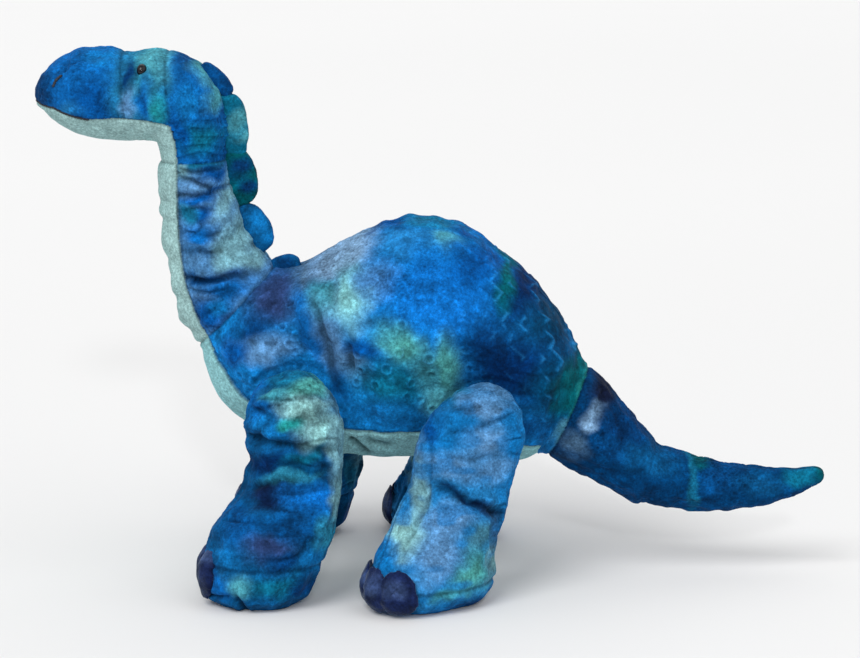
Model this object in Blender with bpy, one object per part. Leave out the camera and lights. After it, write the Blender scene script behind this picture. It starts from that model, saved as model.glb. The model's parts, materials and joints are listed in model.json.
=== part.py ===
"""Stuffed long-necked dinosaur: sewn plush panels around fibre stuffing.

Frame: +Z up, head towards -X, the animal's left side towards -Y, origin on the floor in the
middle of the bounding box. Sizes below are millimetres; meshes are built in metres.

Every soft body is a loft. A station of a loft is (dorsal point, ventral point, half width), with
both points in the X-Z plane of symmetry. A ring runs from the spine down the left side, under the
belly and up the right side. Panels are cut from the loft along whole rows and columns, and the
stuffing is the same loft drawn in by the thickness of the cloth.
"""
import math

import bmesh
import bpy
from mathutils import Matrix, Vector

MM = 0.001

# Driving dimensions
CLOTH = 2.0            # plush cloth with its pile
FILL_GAP = 0.5         # cloth to stuffing
SEAM = 0.3             # edge to edge where two pieces are sewn
JOINT_GAP = 1.2        # ball to socket, where a body bends

# Pivots, as (x, z) in the plane of symmetry
NECK_PIVOT = (-135.5, 188.0)
NECK_BALL = 38.0
NECK_SEAM_ANGLE = 45.5          # slope of the neck and torso seam, degrees
HEAD_PIVOT = (-163.5, 291.0)
TAIL_PIVOT = (96.6, 115.7)
TAIL_BALL = 33.5
TAIL_SEAM_ANGLE = 65.5
CURL_PIVOT = (157.0, 68.0)
CURL_BALL = 21.5
CURL_SEAM_ANGLE = 77.3
FRONT_HIP = (-91.0, 120.0)
REAR_HIP = (43.0, 111.0)
HIP_RADIUS = 35.5
HIP_FACE = 50.0                 # |y| of a leg's inner face, sewn flat to the torso
TORSO_FACE = 49.3               # |y| of the torso pressed flat behind a leg
PRESS_RADIUS = 58.0             # how far round a hip the torso is pressed flat

# Rings
TORSO_SEGMENTS = 24
NECK_SEGMENTS = 20
HEAD_SEGMENTS = 24
TAIL_SEGMENTS = 16
LEG_SEGMENTS = 12
BALL_ANGLES = (72.0, 45.0, 22.0, 0.0)     # rows of a ball end, degrees past its equator
BALL_CLOTH_ROW = 1                        # panels start at this row of the ball

# Colours of the pieces
BLUE = (0.012, 0.130, 0.380)
TEAL = (0.020, 0.250, 0.360)
NAVY = (0.004, 0.030, 0.110)
MINT = (0.240, 0.420, 0.420)
NAIL = (0.012, 0.020, 0.070)
FILL = (0.750, 0.750, 0.720)
BLACK = (0.005, 0.005, 0.006)


# ---------------------------------------------------------------- points and rings

def polar(centre, distance, degrees):
    """Point of the X-Z plane at a distance and a direction from another."""
    angle = math.radians(degrees)
    return (centre[0] + distance * math.cos(angle), centre[1] + distance * math.sin(angle))


def in_plane(point):
    """Point of the plane of symmetry in space."""
    return Vector((point[0], 0.0, point[1]))


def ball_stations(pivot, radius, seam_angle, away, angles):
    """Stations of a ball around a pivot, from its pole to its equator.

    away is +1 or -1, the side of the seam line that the pole is on.
    """
    along = in_plane(polar((0.0, 0.0), 1.0, seam_angle))
    outward = in_plane(polar((0.0, 0.0), 1.0, seam_angle - 90.0 * away))
    stations = []
    for degrees in angles:
        angle = math.radians(degrees)
        centre = in_plane(pivot) + outward * radius * math.sin(angle)
        reach = radius * math.cos(angle)
        dorsal = centre + along * reach
        ventral = centre - along * reach
        stations.append(((dorsal.x, dorsal.z), (ventral.x, ventral.z), reach))
    return stations


def station_ring(station, segments, inset=0.0):
    """Points of one cross-section, starting at the spine and going down the left side."""
    dorsal, ventral, half_width = station
    top, bottom = in_plane(dorsal), in_plane(ventral)
    centre = (top + bottom) / 2
    up = (top - bottom) / 2
    up *= max(1.0 - inset / up.length, 0.2)
    width = max(half_width - inset, 0.2 * half_width)
    points = []
    for index in range(segments):
        angle = 2 * math.pi * index / segments
        side = Vector((0.0, -width * math.sin(angle), 0.0))
        points.append(centre + up * math.cos(angle) + side)
    return points


def between(first, second):
    """Stations with a smooth one added half-way between each two of them."""
    count = len(first)
    flat = [(*dorsal, *ventral, width) for dorsal, ventral, width in first]
    result = []
    for index in range(count - 1):
        before = flat[max(index - 1, 0)]
        after = flat[min(index + 2, count - 1)]
        here, there = flat[index], flat[index + 1]
        rows = zip(before, here, there, after)
        x1, z1, x2, z2, width = [(9 * b + 9 * c - a - d) / 16 for a, b, c, d in rows]
        result.append(first[index])
        if index in second:
            result.append(((x1, z1), (x2, z2), width))
    return result + [first[-1]]


def pressed(ring, inset):
    """Ring of the torso pressed flat where the legs are sewn on."""
    limit = TORSO_FACE - inset
    points = []
    for point in ring:
        flat = point.copy()
        for hip in (FRONT_HIP, REAR_HIP):
            reach = math.hypot(point.x - hip[0], point.z - hip[1])
            if reach < PRESS_RADIUS and abs(point.y) > limit:
                flat.y = math.copysign(limit, point.y)
        points.append(flat)
    return points


def surface(rings, row, column):
    """Point and outward normal of a loft at fractional row and column."""
    segments = len(rings[0])
    row_index = min(int(math.floor(row)), len(rings) - 2)
    column_index = int(math.floor(column))
    down, across = row - row_index, column - column_index
    near, far = rings[row_index], rings[row_index + 1]
    a, b = near[column_index % segments], near[(column_index + 1) % segments]
    c, d = far[column_index % segments], far[(column_index + 1) % segments]
    point = (a.lerp(b, across)).lerp(c.lerp(d, across), down)
    normal = (b - a).lerp(d - c, down).cross((c - a).lerp(d - b, across)).normalized()
    centre = sum(near, Vector()) / segments
    if normal.dot(point - centre) < 0:
        normal.negate()
    return point, normal


# ---------------------------------------------------------------- closed meshes

def towards(point, target, distance):
    """Point moved a distance towards a target."""
    return point + (target - point).normalized() * distance


def trimmed(grid):
    """Grid of points with its border drawn in by half a seam."""
    rows = []
    for row in grid:
        first = towards(row[0], row[1], SEAM / 2)
        last = towards(row[-1], row[-2], SEAM / 2)
        rows.append([first] + list(row[1:-1]) + [last])
    first = [towards(p, q, SEAM / 2) for p, q in zip(rows[0], rows[1])]
    last = [towards(p, q, SEAM / 2) for p, q in zip(rows[-1], rows[-2])]
    return [first] + rows[1:-1] + [last]


def add_grid(bm, grid, closed):
    """Vertices and faces of a grid of points; closed joins the last column to the first."""
    verts = [[bm.verts.new(point) for point in row] for row in grid]
    columns = len(grid[0])
    for near, far in zip(verts, verts[1:]):
        for index in range(columns if closed else columns - 1):
            other = (index + 1) % columns
            bm.faces.new((near[index], near[other], far[other], far[index]))
    return verts


def add_fan(bm, ring, centre):
    """Close a ring of vertices with triangles to a centre point."""
    hub = bm.verts.new(centre)
    for index, vert in enumerate(ring):
        bm.faces.new((vert, ring[(index + 1) % len(ring)], hub))


def middle(ring):
    """Middle of a ring of points."""
    return sum(ring, Vector()) / len(ring)


def solid_loft(rings):
    """Closed solid through rings of points, flat at both ends."""
    bm = bmesh.new()
    verts = add_grid(bm, rings, closed=True)
    add_fan(bm, verts[0], middle(rings[0]))
    add_fan(bm, verts[-1], middle(rings[-1]))
    return bm


def cloth_panel(outer, inner, rows, columns):
    """Closed piece of cloth between two lofts, cut along whole rows and columns."""
    segments = len(outer[0])
    wanted = [index % segments for index in range(columns[0], columns[1] + 1)]
    sheets = []
    for rings in (outer, inner):
        grid = [[rings[row][column] for column in wanted] for row in range(rows[0], rows[1] + 1)]
        sheets.append(trimmed(grid))
    bm = bmesh.new()
    face = add_grid(bm, sheets[0], closed=False)
    back = add_grid(bm, sheets[1], closed=False)
    rims = []
    for side in (face, back):
        right = [row[-1] for row in side[1:-1]]
        left = [row[0] for row in reversed(side[1:-1])]
        rims.append(side[0] + right + list(reversed(side[-1])) + left)
    bridge_rims(bm, rims[0], rims[1])
    return bm


def bridge_rims(bm, first, second):
    """Join two closed rims of vertices with a band of faces."""
    count = len(first)
    for index in range(count):
        other = (index + 1) % count
        bm.faces.new((first[index], first[other], second[other], second[index]))


def cloth_bowl(outer, inner):
    """Closed bowl of cloth between two lofts, closed at the first row and open at the last."""
    bm = bmesh.new()
    rims = []
    for rings in (outer, inner):
        top = [towards(p, q, SEAM / 2) for p, q in zip(rings[-1], rings[-2])]
        verts = add_grid(bm, rings[:-1] + [top], closed=True)
        add_fan(bm, verts[0], middle(rings[0]))
        rims.append(verts[-1])
    bridge_rims(bm, rims[0], rims[1])
    return bm


def turned(profile, steps, axis_point, axis):
    """Solid turned from a profile of (radius, height) whose ends lie on the axis."""
    turn = axis.to_track_quat("Z", "Y")
    rings = []
    for radius, height in profile[1:-1]:
        ring = []
        for index in range(steps):
            angle = 2 * math.pi * index / steps
            local = Vector((radius * math.cos(angle), radius * math.sin(angle), height))
            ring.append(axis_point + turn @ local)
        rings.append(ring)
    bm = bmesh.new()
    verts = add_grid(bm, rings, closed=True)
    for ring, (_, height) in ((verts[0], profile[0]), (verts[-1], profile[-1])):
        add_fan(bm, ring, axis_point + axis * height)
    return bm


def turned_ring(inner_radius, outer_radius, low, high, steps, axis_point, axis):
    """Flat ring of rectangular section around an axis."""
    turn = axis.to_track_quat("Z", "Y")
    section = ((inner_radius, low), (outer_radius, low), (outer_radius, high), (inner_radius, high))
    rings = []
    for index in range(steps):
        angle = 2 * math.pi * index / steps
        spoke = Vector((math.cos(angle), math.sin(angle), 0.0))
        corners = [spoke * radius + Vector((0.0, 0.0, height)) for radius, height in section]
        rings.append([axis_point + turn @ corner for corner in corners])
    bm = bmesh.new()
    add_grid(bm, rings + [rings[0]], closed=True)
    bmesh.ops.remove_doubles(bm, verts=bm.verts, dist=0.01)
    return bm


def tube(path, radius, sides):
    """Round tube along a path of points and normals, with flat ends."""
    rings = []
    for index, (point, normal) in enumerate(path):
        before = path[max(index - 1, 0)][0]
        after = path[min(index + 1, len(path) - 1)][0]
        along = (after - before).normalized()
        across = along.cross(normal).normalized()
        lift = across.cross(along)
        ring = []
        for side in range(sides):
            angle = 2 * math.pi * side / sides
            ring.append(point + (across * math.cos(angle) + lift * math.sin(angle)) * radius)
        rings.append(ring)
    return solid_loft(rings)


# ---------------------------------------------------------------- objects

def clear_scene():
    """Remove what the startup file holds."""
    for obj in list(bpy.data.objects):
        bpy.data.objects.remove(obj, do_unlink=True)


def pivot_empty(name, location, parent=None):
    """Empty on a joint's axis, which carries the pieces of one body."""
    empty = bpy.data.objects.new(name, None)
    empty.empty_display_size = 0.02
    bpy.context.collection.objects.link(empty)
    world = Vector(location) * MM
    empty.parent = parent
    empty.location = world - (parent.matrix_world.translation if parent else Vector())
    bpy.context.view_layer.update()
    return empty


def material(name, colour, roughness):
    """Principled material in one colour."""
    shade = bpy.data.materials.new(name)
    shade.use_nodes = True
    shade.diffuse_color = (*colour, 1.0)
    shader = shade.node_tree.nodes["Principled BSDF"]
    shader.inputs["Base Color"].default_value = (*colour, 1.0)
    shader.inputs["Roughness"].default_value = roughness
    shader.inputs["Metallic"].default_value = 0.0
    return shade


def add_piece(name, bm, pivot, colour, roughness=0.9):
    """Object of one closed mesh in millimetres, hung on its body's empty."""
    bmesh.ops.recalc_face_normals(bm, faces=bm.faces)
    if bm.calc_volume(signed=True) < 0:
        bmesh.ops.reverse_faces(bm, faces=bm.faces)
    world = Matrix.Scale(MM, 4)
    place = Matrix.Translation(-pivot.matrix_world.translation)
    bmesh.ops.transform(bm, matrix=place @ world, verts=bm.verts)
    mesh = bpy.data.meshes.new(name)
    bm.to_mesh(mesh)
    bm.free()
    mesh.shade_smooth()
    mesh.set_sharp_from_angle(angle=math.radians(50))
    mesh.materials.append(material(name + "_material", colour, roughness))
    piece = bpy.data.objects.new(name, mesh)
    bpy.context.collection.objects.link(piece)
    piece.parent = pivot
    return piece


def cut(piece, cutter):
    """Cut a piece with a cutter that isn't itself a piece."""
    cutter.hide_render = True
    cutter.display_type = "WIRE"
    boolean = piece.modifiers.new("cut_" + cutter.name, "BOOLEAN")
    boolean.operation = "DIFFERENCE"
    boolean.solver = "EXACT"
    boolean.object = cutter


# ---------------------------------------------------------------- soft bodies

class Loft:
    """Rings of one soft body: cloth outside, cloth inside, and stuffing."""

    def __init__(self, stations, segments, shape=None):
        self.outer = self.rings(stations, segments, 0.0, shape)
        self.inner = self.rings(stations, segments, CLOTH, shape)
        self.fill = self.rings(stations, segments, CLOTH + FILL_GAP, shape)

    @staticmethod
    def rings(stations, segments, inset, shape):
        rings = [station_ring(station, segments, inset) for station in stations]
        return [shape(ring, inset) for ring in rings] if shape else rings

    def panel(self, rows, columns):
        return cloth_panel(self.outer, self.inner, rows, columns)


def side_panels(prefix, suffix, loft, rows, under_column, pivot, colour):
    """Left and right panels from the spine down to a column, mirror images of each other."""
    segments = len(loft.outer[0])
    left = loft.panel(rows, (0, under_column))
    right = loft.panel(rows, (segments - under_column, segments))
    add_piece(prefix + "_left_" + suffix, left, pivot, colour)
    add_piece(prefix + "_right_" + suffix, right, pivot, colour)


def dorsal_plate(name, rings, rows, height, thickness, pivot, colour):
    """Stuffed half disc standing in the dorsal seam between two rows of a loft."""
    start, _ = surface(rings, rows[0], 0.0)
    end, _ = surface(rings, rows[1], 0.0)
    along = (end - start).normalized()
    out = Vector((along.z, 0.0, -along.x))
    base = (start + end) / 2
    if out.dot(base - middle(rings[int(rows[0])])) < 0:
        out.negate()
    steps = 12
    samples = [rows[0] + (rows[1] - rows[0]) * index / steps for index in range(steps + 1)]
    lift = max(out.dot(surface(rings, row, 0.0)[0] - base) for row in samples) + SEAM
    base = base + out * lift
    half = (end - start).length / 2 - SEAM
    rings_count, arc_count = 7, 7
    grid = []
    for i in range(rings_count):
        angle = math.pi * (i + 1) / (rings_count + 1)
        full = math.sin(angle) ** 0.7
        row = []
        for j in range(arc_count):
            lean = math.pi * (j / (arc_count - 1) - 0.5)
            offset = out * (height * math.cos(lean))
            offset += Vector((0.0, thickness / 2 * math.sin(lean), 0.0))
            row.append(base - along * (half * math.cos(angle)) + offset * full)
        grid.append(row)
    bm = bmesh.new()
    verts = add_grid(bm, grid, closed=True)
    add_fan(bm, verts[0], base - along * half)
    add_fan(bm, verts[-1], base + along * half)
    add_piece(name, bm, pivot, colour)


def build_torso(pivot):
    """Torso: two side panels, a belly panel, the stuffing and the low shoulder plate."""
    front_rim = (polar(NECK_PIVOT, 44.0, 36.5), polar(NECK_PIVOT, 45.0, 243.0), 43.0)
    rear_rim = ((101.0, 160.0), (67.5, 85.0), 42.0)
    stations = [
        front_rim,
        ((-88.0, 215.5), (-150.0, 138.0), 48.0),
        ((-70.0, 226.0), (-137.0, 115.0), 56.0),
        ((-48.0, 239.0), (-112.0, 95.0), 61.0),
        ((-15.0, 251.0), (-62.0, 84.0), 64.0),
        ((20.0, 245.5), (-10.0, 83.0), 65.0),
        ((48.0, 226.0), (32.0, 81.0), 62.0),
        ((72.0, 205.0), (56.0, 81.0), 55.0),
        ((88.0, 183.0), (63.0, 82.5), 49.0),
        rear_rim,
    ]
    stations = between(stations, (1, 2, 3, 4, 5, 6))
    loft = Loft(stations, TORSO_SEGMENTS, pressed)
    last = len(stations) - 1
    belly_column = 9
    side_panels("torso", "panel", loft, (0, last), belly_column, pivot, BLUE)
    belly = loft.panel((0, last), (belly_column, TORSO_SEGMENTS - belly_column))
    add_piece("belly_panel", belly, pivot, MINT)

    cup_angles = (76.0, 54.0, 34.0, 15.5)
    front_cup = ball_stations(NECK_PIVOT, NECK_BALL + JOINT_GAP, 49.75, 1, cup_angles)
    rear_angles = (24.5, 40.0, 58.0, 78.0)
    rear_cup = ball_stations(TAIL_PIVOT, TAIL_BALL + JOINT_GAP, TAIL_SEAM_ANGLE, -1, rear_angles)
    front_rings = [station_ring(station, TORSO_SEGMENTS) for station in front_cup]
    rear_rings = [station_ring(station, TORSO_SEGMENTS) for station in rear_cup]
    add_piece("torso_stuffing", solid_loft(front_rings + loft.fill + rear_rings), pivot, FILL)
    dorsal_plate("shoulder_plate", loft.outer, (0.1, 1.25), 6.5, 9.0, pivot, TEAL)


def build_neck(pivot):
    """Neck: two side panels, the throat panel, stuffing, and two plates down its back."""
    stations = ball_stations(NECK_PIVOT, NECK_BALL, NECK_SEAM_ANGLE, 1, BALL_ANGLES)
    stations += [
        ((-119.0, 231.0), (-174.5, 180.0), 33.0),
        ((-128.0, 245.5), (-181.0, 201.0), 30.0),
        ((-132.5, 261.0), (-183.0, 233.0), 28.0),
        ((-137.0, 276.5), (-185.5, 264.6), 27.0),
        ((-140.0, 290.5), (-187.0, 290.5), 26.0),
    ]
    loft = Loft(stations, NECK_SEGMENTS)
    rows = (BALL_CLOTH_ROW, len(stations) - 1)
    throat_column = 6
    side_panels("neck", "panel", loft, rows, throat_column, pivot, BLUE)
    throat = loft.panel(rows, (throat_column, NECK_SEGMENTS - throat_column))
    add_piece("throat_panel", throat, pivot, MINT)
    add_piece("neck_stuffing", solid_loft(loft.fill), pivot, FILL)
    dorsal_plate("neck_plate_upper", loft.outer, (5.35, 7.95), 15.0, 11.0, pivot, TEAL)
    dorsal_plate("neck_plate_lower", loft.outer, (3.45, 5.3), 11.5, 11.0, pivot, BLUE)


def head_stations():
    """Stations of the head, from the neck over the crown to the tip of the nose."""
    return [
        ((-140.0, 291.5), (-187.0, 291.5), 26.0),
        ((-138.0, 312.0), (-187.0, 299.0), 29.0),
        ((-143.0, 338.0), (-188.5, 303.0), 32.0),
        ((-157.0, 357.0), (-190.0, 304.5), 33.0),
        ((-179.0, 367.0), (-193.0, 305.0), 34.0),
        ((-188.0, 367.0), (-200.0, 305.0), 33.0),
        ((-208.0, 365.0), (-215.0, 305.5), 31.0),
        ((-219.0, 369.0), (-226.0, 306.0), 35.0),
        ((-240.0, 368.5), (-244.0, 310.0), 35.5),
        ((-258.0, 359.0), (-259.0, 318.0), 29.0),
        ((-267.0, 350.0), (-266.0, 323.5), 20.5),
        ((-271.5, 340.0), (-271.0, 328.5), 9.5),
        ((-273.0, 334.5), (-273.0, 331.5), 1.6),
    ]


def build_head(pivot):
    """Head: crown, face and muzzle panels on each side, the jaw, stuffing, eyes and mouth."""
    stations = head_stations()
    loft = Loft(stations, HEAD_SEGMENTS)
    last = len(stations) - 1
    face_row, muzzle_row, jaw_column = 4, 6, 9
    side_panels("crown", "panel", loft, (0, face_row), jaw_column, pivot, BLUE)
    face_rows = (face_row, muzzle_row)
    right_face = loft.panel(face_rows, (HEAD_SEGMENTS - jaw_column, HEAD_SEGMENTS))
    faces = {
        "left": add_piece("face_left_panel", loft.panel(face_rows, (0, jaw_column)), pivot, TEAL),
        "right": add_piece("face_right_panel", right_face, pivot, TEAL),
    }
    side_panels("muzzle", "panel", loft, (muzzle_row, last), jaw_column, pivot, BLUE)
    jaw = loft.panel((0, last), (jaw_column, HEAD_SEGMENTS - jaw_column))
    add_piece("jaw_panel", jaw, pivot, MINT)
    stuffing = add_piece("head_stuffing", solid_loft(loft.fill[:-1]), pivot, FILL)

    for side, column in (("left", 3.0), ("right", HEAD_SEGMENTS - 3.0)):
        build_eye(side, loft.outer, column, pivot, faces[side], stuffing)
    build_mouth(loft.outer, muzzle_row, last, jaw_column, pivot)
    dorsal_plate("head_plate_upper", loft.outer, (2.15, 3.3), 6.0, 9.0, pivot, NAVY)
    dorsal_plate("head_plate_lower", loft.outer, (0.05, 2.0), 14.5, 11.0, pivot, TEAL)


def build_eye(side, rings, column, pivot, face, stuffing):
    """Safety eye: domed head and stem through the face cloth, and a washer behind it."""
    eye_row = 5.4
    stem_radius, dome_radius = 1.6, 4.5
    point, normal = surface(rings, eye_row, column)
    seat = SEAM + 0.1
    dome = [(0.0, seat + 3.2), (1.8, seat + 2.9), (3.4, seat + 1.9), (4.3, seat + 0.8)]
    stem = [(dome_radius, seat), (stem_radius, seat), (stem_radius, -9.0), (0.0, -9.0)]
    add_piece(side + "_eye", turned(dome + stem, 14, point, normal), pivot, BLACK, 0.08)
    washer = turned_ring(stem_radius + 0.3, 5.6, -5.2, -3.6, 14, point, normal)
    add_piece(side + "_eye_washer", washer, pivot, FILL, 0.5)
    hole = turned([(0.0, 4.0), (1.95, 4.0), (1.95, -4.0), (0.0, -4.0)], 14, point, normal)
    cut(face, add_piece(side + "_eye_hole_cutter", hole, pivot, BLACK))
    pocket = turned([(0.0, 6.0), (6.2, 6.0), (6.2, -11.0), (0.0, -11.0)], 14, point, normal)
    cut(stuffing, add_piece(side + "_eye_pocket_cutter", pocket, pivot, BLACK))


def build_mouth(rings, muzzle_row, last, jaw_column, pivot):
    """Line of embroidery just above the jaw seam, around the nose from side to side."""
    thread = 0.55
    lift = thread + SEAM + 0.1
    column = jaw_column - 0.5
    start, end, steps = muzzle_row + 1.3, last - 1.0, 9
    rows = [start + (end - start) * index / steps for index in range(steps + 1)]
    left = [surface(rings, row, column) for row in rows]
    right = [surface(rings, row, HEAD_SEGMENTS - column) for row in reversed(rows)]
    nose = []
    for share in (0.25, 0.5, 0.75):
        across = column + (HEAD_SEGMENTS - 2 * column) * share
        point, normal = surface(rings, end, across)
        nose.append((point, (normal + Vector((-0.6, 0.0, 0.0))).normalized()))
    path = [(point + normal * lift, normal) for point, normal in left + nose + right]
    add_piece("mouth_stitching", tube(path, thread, 6), pivot, BLACK)


def build_tail(root_pivot, tip_pivot):
    """Tail in two lengths, each of two side panels and stuffing."""
    curl_rim = ((154.8, 94.0), (143.4, 45.3), 25.0)
    root = ball_stations(TAIL_PIVOT, TAIL_BALL, TAIL_SEAM_ANGLE, -1, BALL_ANGLES)
    root += [
        ((128.0, 126.0), (103.0, 69.0), 29.5),
        ((144.0, 106.0), (125.0, 57.5), 27.0),
        curl_rim,
    ]
    loft = Loft(root, TAIL_SEGMENTS)
    half = TAIL_SEGMENTS // 2
    rows = (BALL_CLOTH_ROW, len(root) - 1)
    side_panels("tail_base", "panel", loft, rows, half, root_pivot, BLUE)
    cup_angles = (21.5, 40.0, 58.0, 78.0)
    cup = ball_stations(CURL_PIVOT, CURL_BALL + JOINT_GAP, CURL_SEAM_ANGLE, -1, cup_angles)
    cup_rings = [station_ring(station, TAIL_SEGMENTS) for station in cup]
    add_piece("tail_base_stuffing", solid_loft(loft.fill + cup_rings), root_pivot, FILL)

    tip = ball_stations(CURL_PIVOT, CURL_BALL, CURL_SEAM_ANGLE, -1, BALL_ANGLES)
    tip += [
        ((184.0, 81.5), (180.0, 42.0), 19.5),
        ((207.0, 77.0), (206.0, 42.5), 17.0),
        ((230.0, 74.5), (231.0, 46.0), 13.5),
        ((250.0, 73.0), (253.0, 53.5), 9.5),
        ((264.0, 75.5), (268.0, 60.5), 7.0),
        ((273.0, 71.5), (273.0, 65.5), 3.2),
    ]
    loft = Loft(tip, TAIL_SEGMENTS)
    rows = (BALL_CLOTH_ROW, len(tip) - 1)
    side_panels("tail_tip", "panel", loft, rows, half, tip_pivot, BLUE)
    add_piece("tail_tip_stuffing", solid_loft(loft.fill), tip_pivot, FILL)


# ---------------------------------------------------------------- legs

def leg_ring(station, side, inset=0.0):
    """Points of one level of a leg, from its outer side over the toes to its inner side."""
    height, front, rear, inner, outer, toe_out = station
    half_length = max((rear - front) / 2 - inset, 0.2)
    half_width = max((outer - inner) / 2 - inset, 0.2)
    centre = Vector(((front + rear) / 2, side * (inner + outer) / 2, max(height, inset)))
    turn = math.radians(toe_out)
    forward = Vector((-math.cos(turn), side * math.sin(turn), 0.0))
    outward = Vector((math.sin(turn), side * math.cos(turn), 0.0))
    points = []
    for index in range(LEG_SEGMENTS):
        angle = 2 * math.pi * index / LEG_SEGMENTS
        reach = outward * (half_width * math.cos(angle)) + forward * (half_length * math.sin(angle))
        points.append(centre + reach)
    return points


def dome_levels(hip, width):
    """Levels of the round top of a leg, which leans against the torso."""
    levels = []
    for degrees in (0.0, 32.0, 60.0, 82.0):
        angle = math.radians(degrees)
        reach = HIP_RADIUS * math.cos(angle)
        outer = HIP_FACE + width * math.cos(angle) ** 0.7
        height = hip[1] + HIP_RADIUS * math.sin(angle)
        levels.append((height, hip[0] - reach, hip[0] + reach, HIP_FACE, outer, 0.0))
    return levels


def toenail(rings, row, column, half_rows, half_columns):
    """Round patch of cloth laid over a toe."""
    near, far = 1.8, 3.3
    spokes = 10
    sheets = []
    for lift in (near, far):
        centre, normal = surface(rings, row, column)
        grid = []
        for share in (0.45, 1.0):
            ring = []
            for index in range(spokes):
                angle = 2 * math.pi * index / spokes
                place = row + half_rows * share * math.sin(angle)
                across = column + half_columns * share * math.cos(angle)
                point, out = surface(rings, place, across)
                ring.append(point + out * lift)
            grid.append(ring)
        sheets.append((grid, centre + normal * lift))
    bm = bmesh.new()
    rims = []
    for grid, centre in sheets:
        verts = add_grid(bm, grid, closed=True)
        add_fan(bm, verts[0], centre)
        rims.append(verts[-1])
    bridge_rims(bm, rims[0], rims[1])
    return bm


def build_leg(name, side, levels, sole_row, toes, pivot):
    """Leg: outer and inner panels, a sole, stuffing and three toenails."""
    outer = [leg_ring(level, side) for level in levels]
    inner = [leg_ring(level, side, CLOTH) for level in levels]
    fill = [leg_ring(level, side, CLOTH + FILL_GAP) for level in levels]
    last = len(levels) - 1
    quarter = LEG_SEGMENTS // 4
    outside = cloth_panel(outer, inner, (sole_row, last), (-quarter, quarter))
    inside = cloth_panel(outer, inner, (sole_row, last), (quarter, 3 * quarter))
    add_piece(name + "_outer_panel", outside, pivot, BLUE)
    add_piece(name + "_inner_panel", inside, pivot, NAVY)
    sole = cloth_bowl(outer[:sole_row + 1], inner[:sole_row + 1])
    add_piece(name + "_sole", sole, pivot, TEAL)
    add_piece(name + "_stuffing", solid_loft(fill[:-1]), pivot, FILL)
    for label, column, spread in toes:
        nail = toenail(outer, sole_row - 0.15, column, 0.75, spread)
        add_piece(name + "_toenail_" + label, nail, pivot, NAIL)


def front_leg_levels():
    """Levels of a front leg from the floor up; its foot turns slightly in."""
    levels = [
        (0.0, -141.0, -92.0, 74.0, 112.0, -12.0),
        (8.0, -152.0, -78.0, 63.0, 124.0, -12.0),
        (30.0, -154.0, -68.0, 57.0, 128.0, -12.0),
        (50.0, -147.0, -60.0, 54.0, 119.0, -10.0),
        (72.0, -130.0, -56.0, 51.5, 103.0, -5.0),
        (95.0, -121.0, -55.5, 50.5, 94.0, 0.0),
    ]
    return levels + dome_levels(FRONT_HIP, 42.0)


def rear_leg_levels():
    """Levels of a rear leg from the floor up; its foot turns out."""
    levels = [
        (0.0, -26.0, 30.0, 74.0, 112.0, 38.0),
        (6.0, -40.0, 46.0, 62.0, 126.0, 38.0),
        (16.0, -45.0, 52.0, 58.0, 130.0, 38.0),
        (36.0, -38.0, 53.0, 58.0, 122.0, 34.0),
        (58.0, -20.0, 58.0, 54.0, 106.0, 16.0),
        (85.0, -1.0, 68.0, 50.5, 95.0, 0.0),
    ]
    return levels + dome_levels(REAR_HIP, 43.0)


def build_legs(pivots):
    """Four legs, the right ones mirror images of the left ones."""
    for side, sign in (("left", -1), ("right", 1)):
        front_toes = (("outer", 1.9, 0.5), ("middle", 3.0, 0.55), ("inner", 4.1, 0.5))
        rear_toes = (("outer", 1.95, 0.5), ("middle", 3.0, 0.52), ("inner", 4.05, 0.5))
        front, rear = side + "_front_leg", side + "_rear_leg"
        build_leg(front, sign, front_leg_levels(), 2, front_toes, pivots[front])
        build_leg(rear, sign, rear_leg_levels(), 2, rear_toes, pivots[rear])


def main():
    clear_scene()
    torso = pivot_empty("torso_origin", (0.0, 0.0, 0.0))
    neck = pivot_empty("neck_pivot", (NECK_PIVOT[0], 0.0, NECK_PIVOT[1]), torso)
    head = pivot_empty("head_pivot", (HEAD_PIVOT[0], 0.0, HEAD_PIVOT[1]), neck)
    tail = pivot_empty("tail_pivot", (TAIL_PIVOT[0], 0.0, TAIL_PIVOT[1]), torso)
    curl = pivot_empty("tail_curl_pivot", (CURL_PIVOT[0], 0.0, CURL_PIVOT[1]), tail)
    legs = {}
    for side, sign in (("left", -1), ("right", 1)):
        for end, hip in (("front", FRONT_HIP), ("rear", REAR_HIP)):
            name = side + "_" + end + "_leg"
            place = (hip[0], sign * HIP_FACE, hip[1])
            legs[name] = pivot_empty(name + "_hip", place, torso)
    build_torso(torso)
    build_neck(neck)
    build_head(head)
    build_tail(tail, curl)
    build_legs(legs)


main()
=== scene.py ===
"""Looks of a stuffed long-necked dinosaur: dyed, embossed plush sewn over soft filling.

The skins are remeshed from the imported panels, so they lie where the panels lie. Every pattern
reads a skin's rest place, in millimetres of the object's frame: +Z up, head towards -X, the
animal's left side towards -Y.
"""
import json
import math
import re

import bpy
import numpy as np
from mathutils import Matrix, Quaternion, Vector
from mathutils.bvhtree import BVHTree


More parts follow.
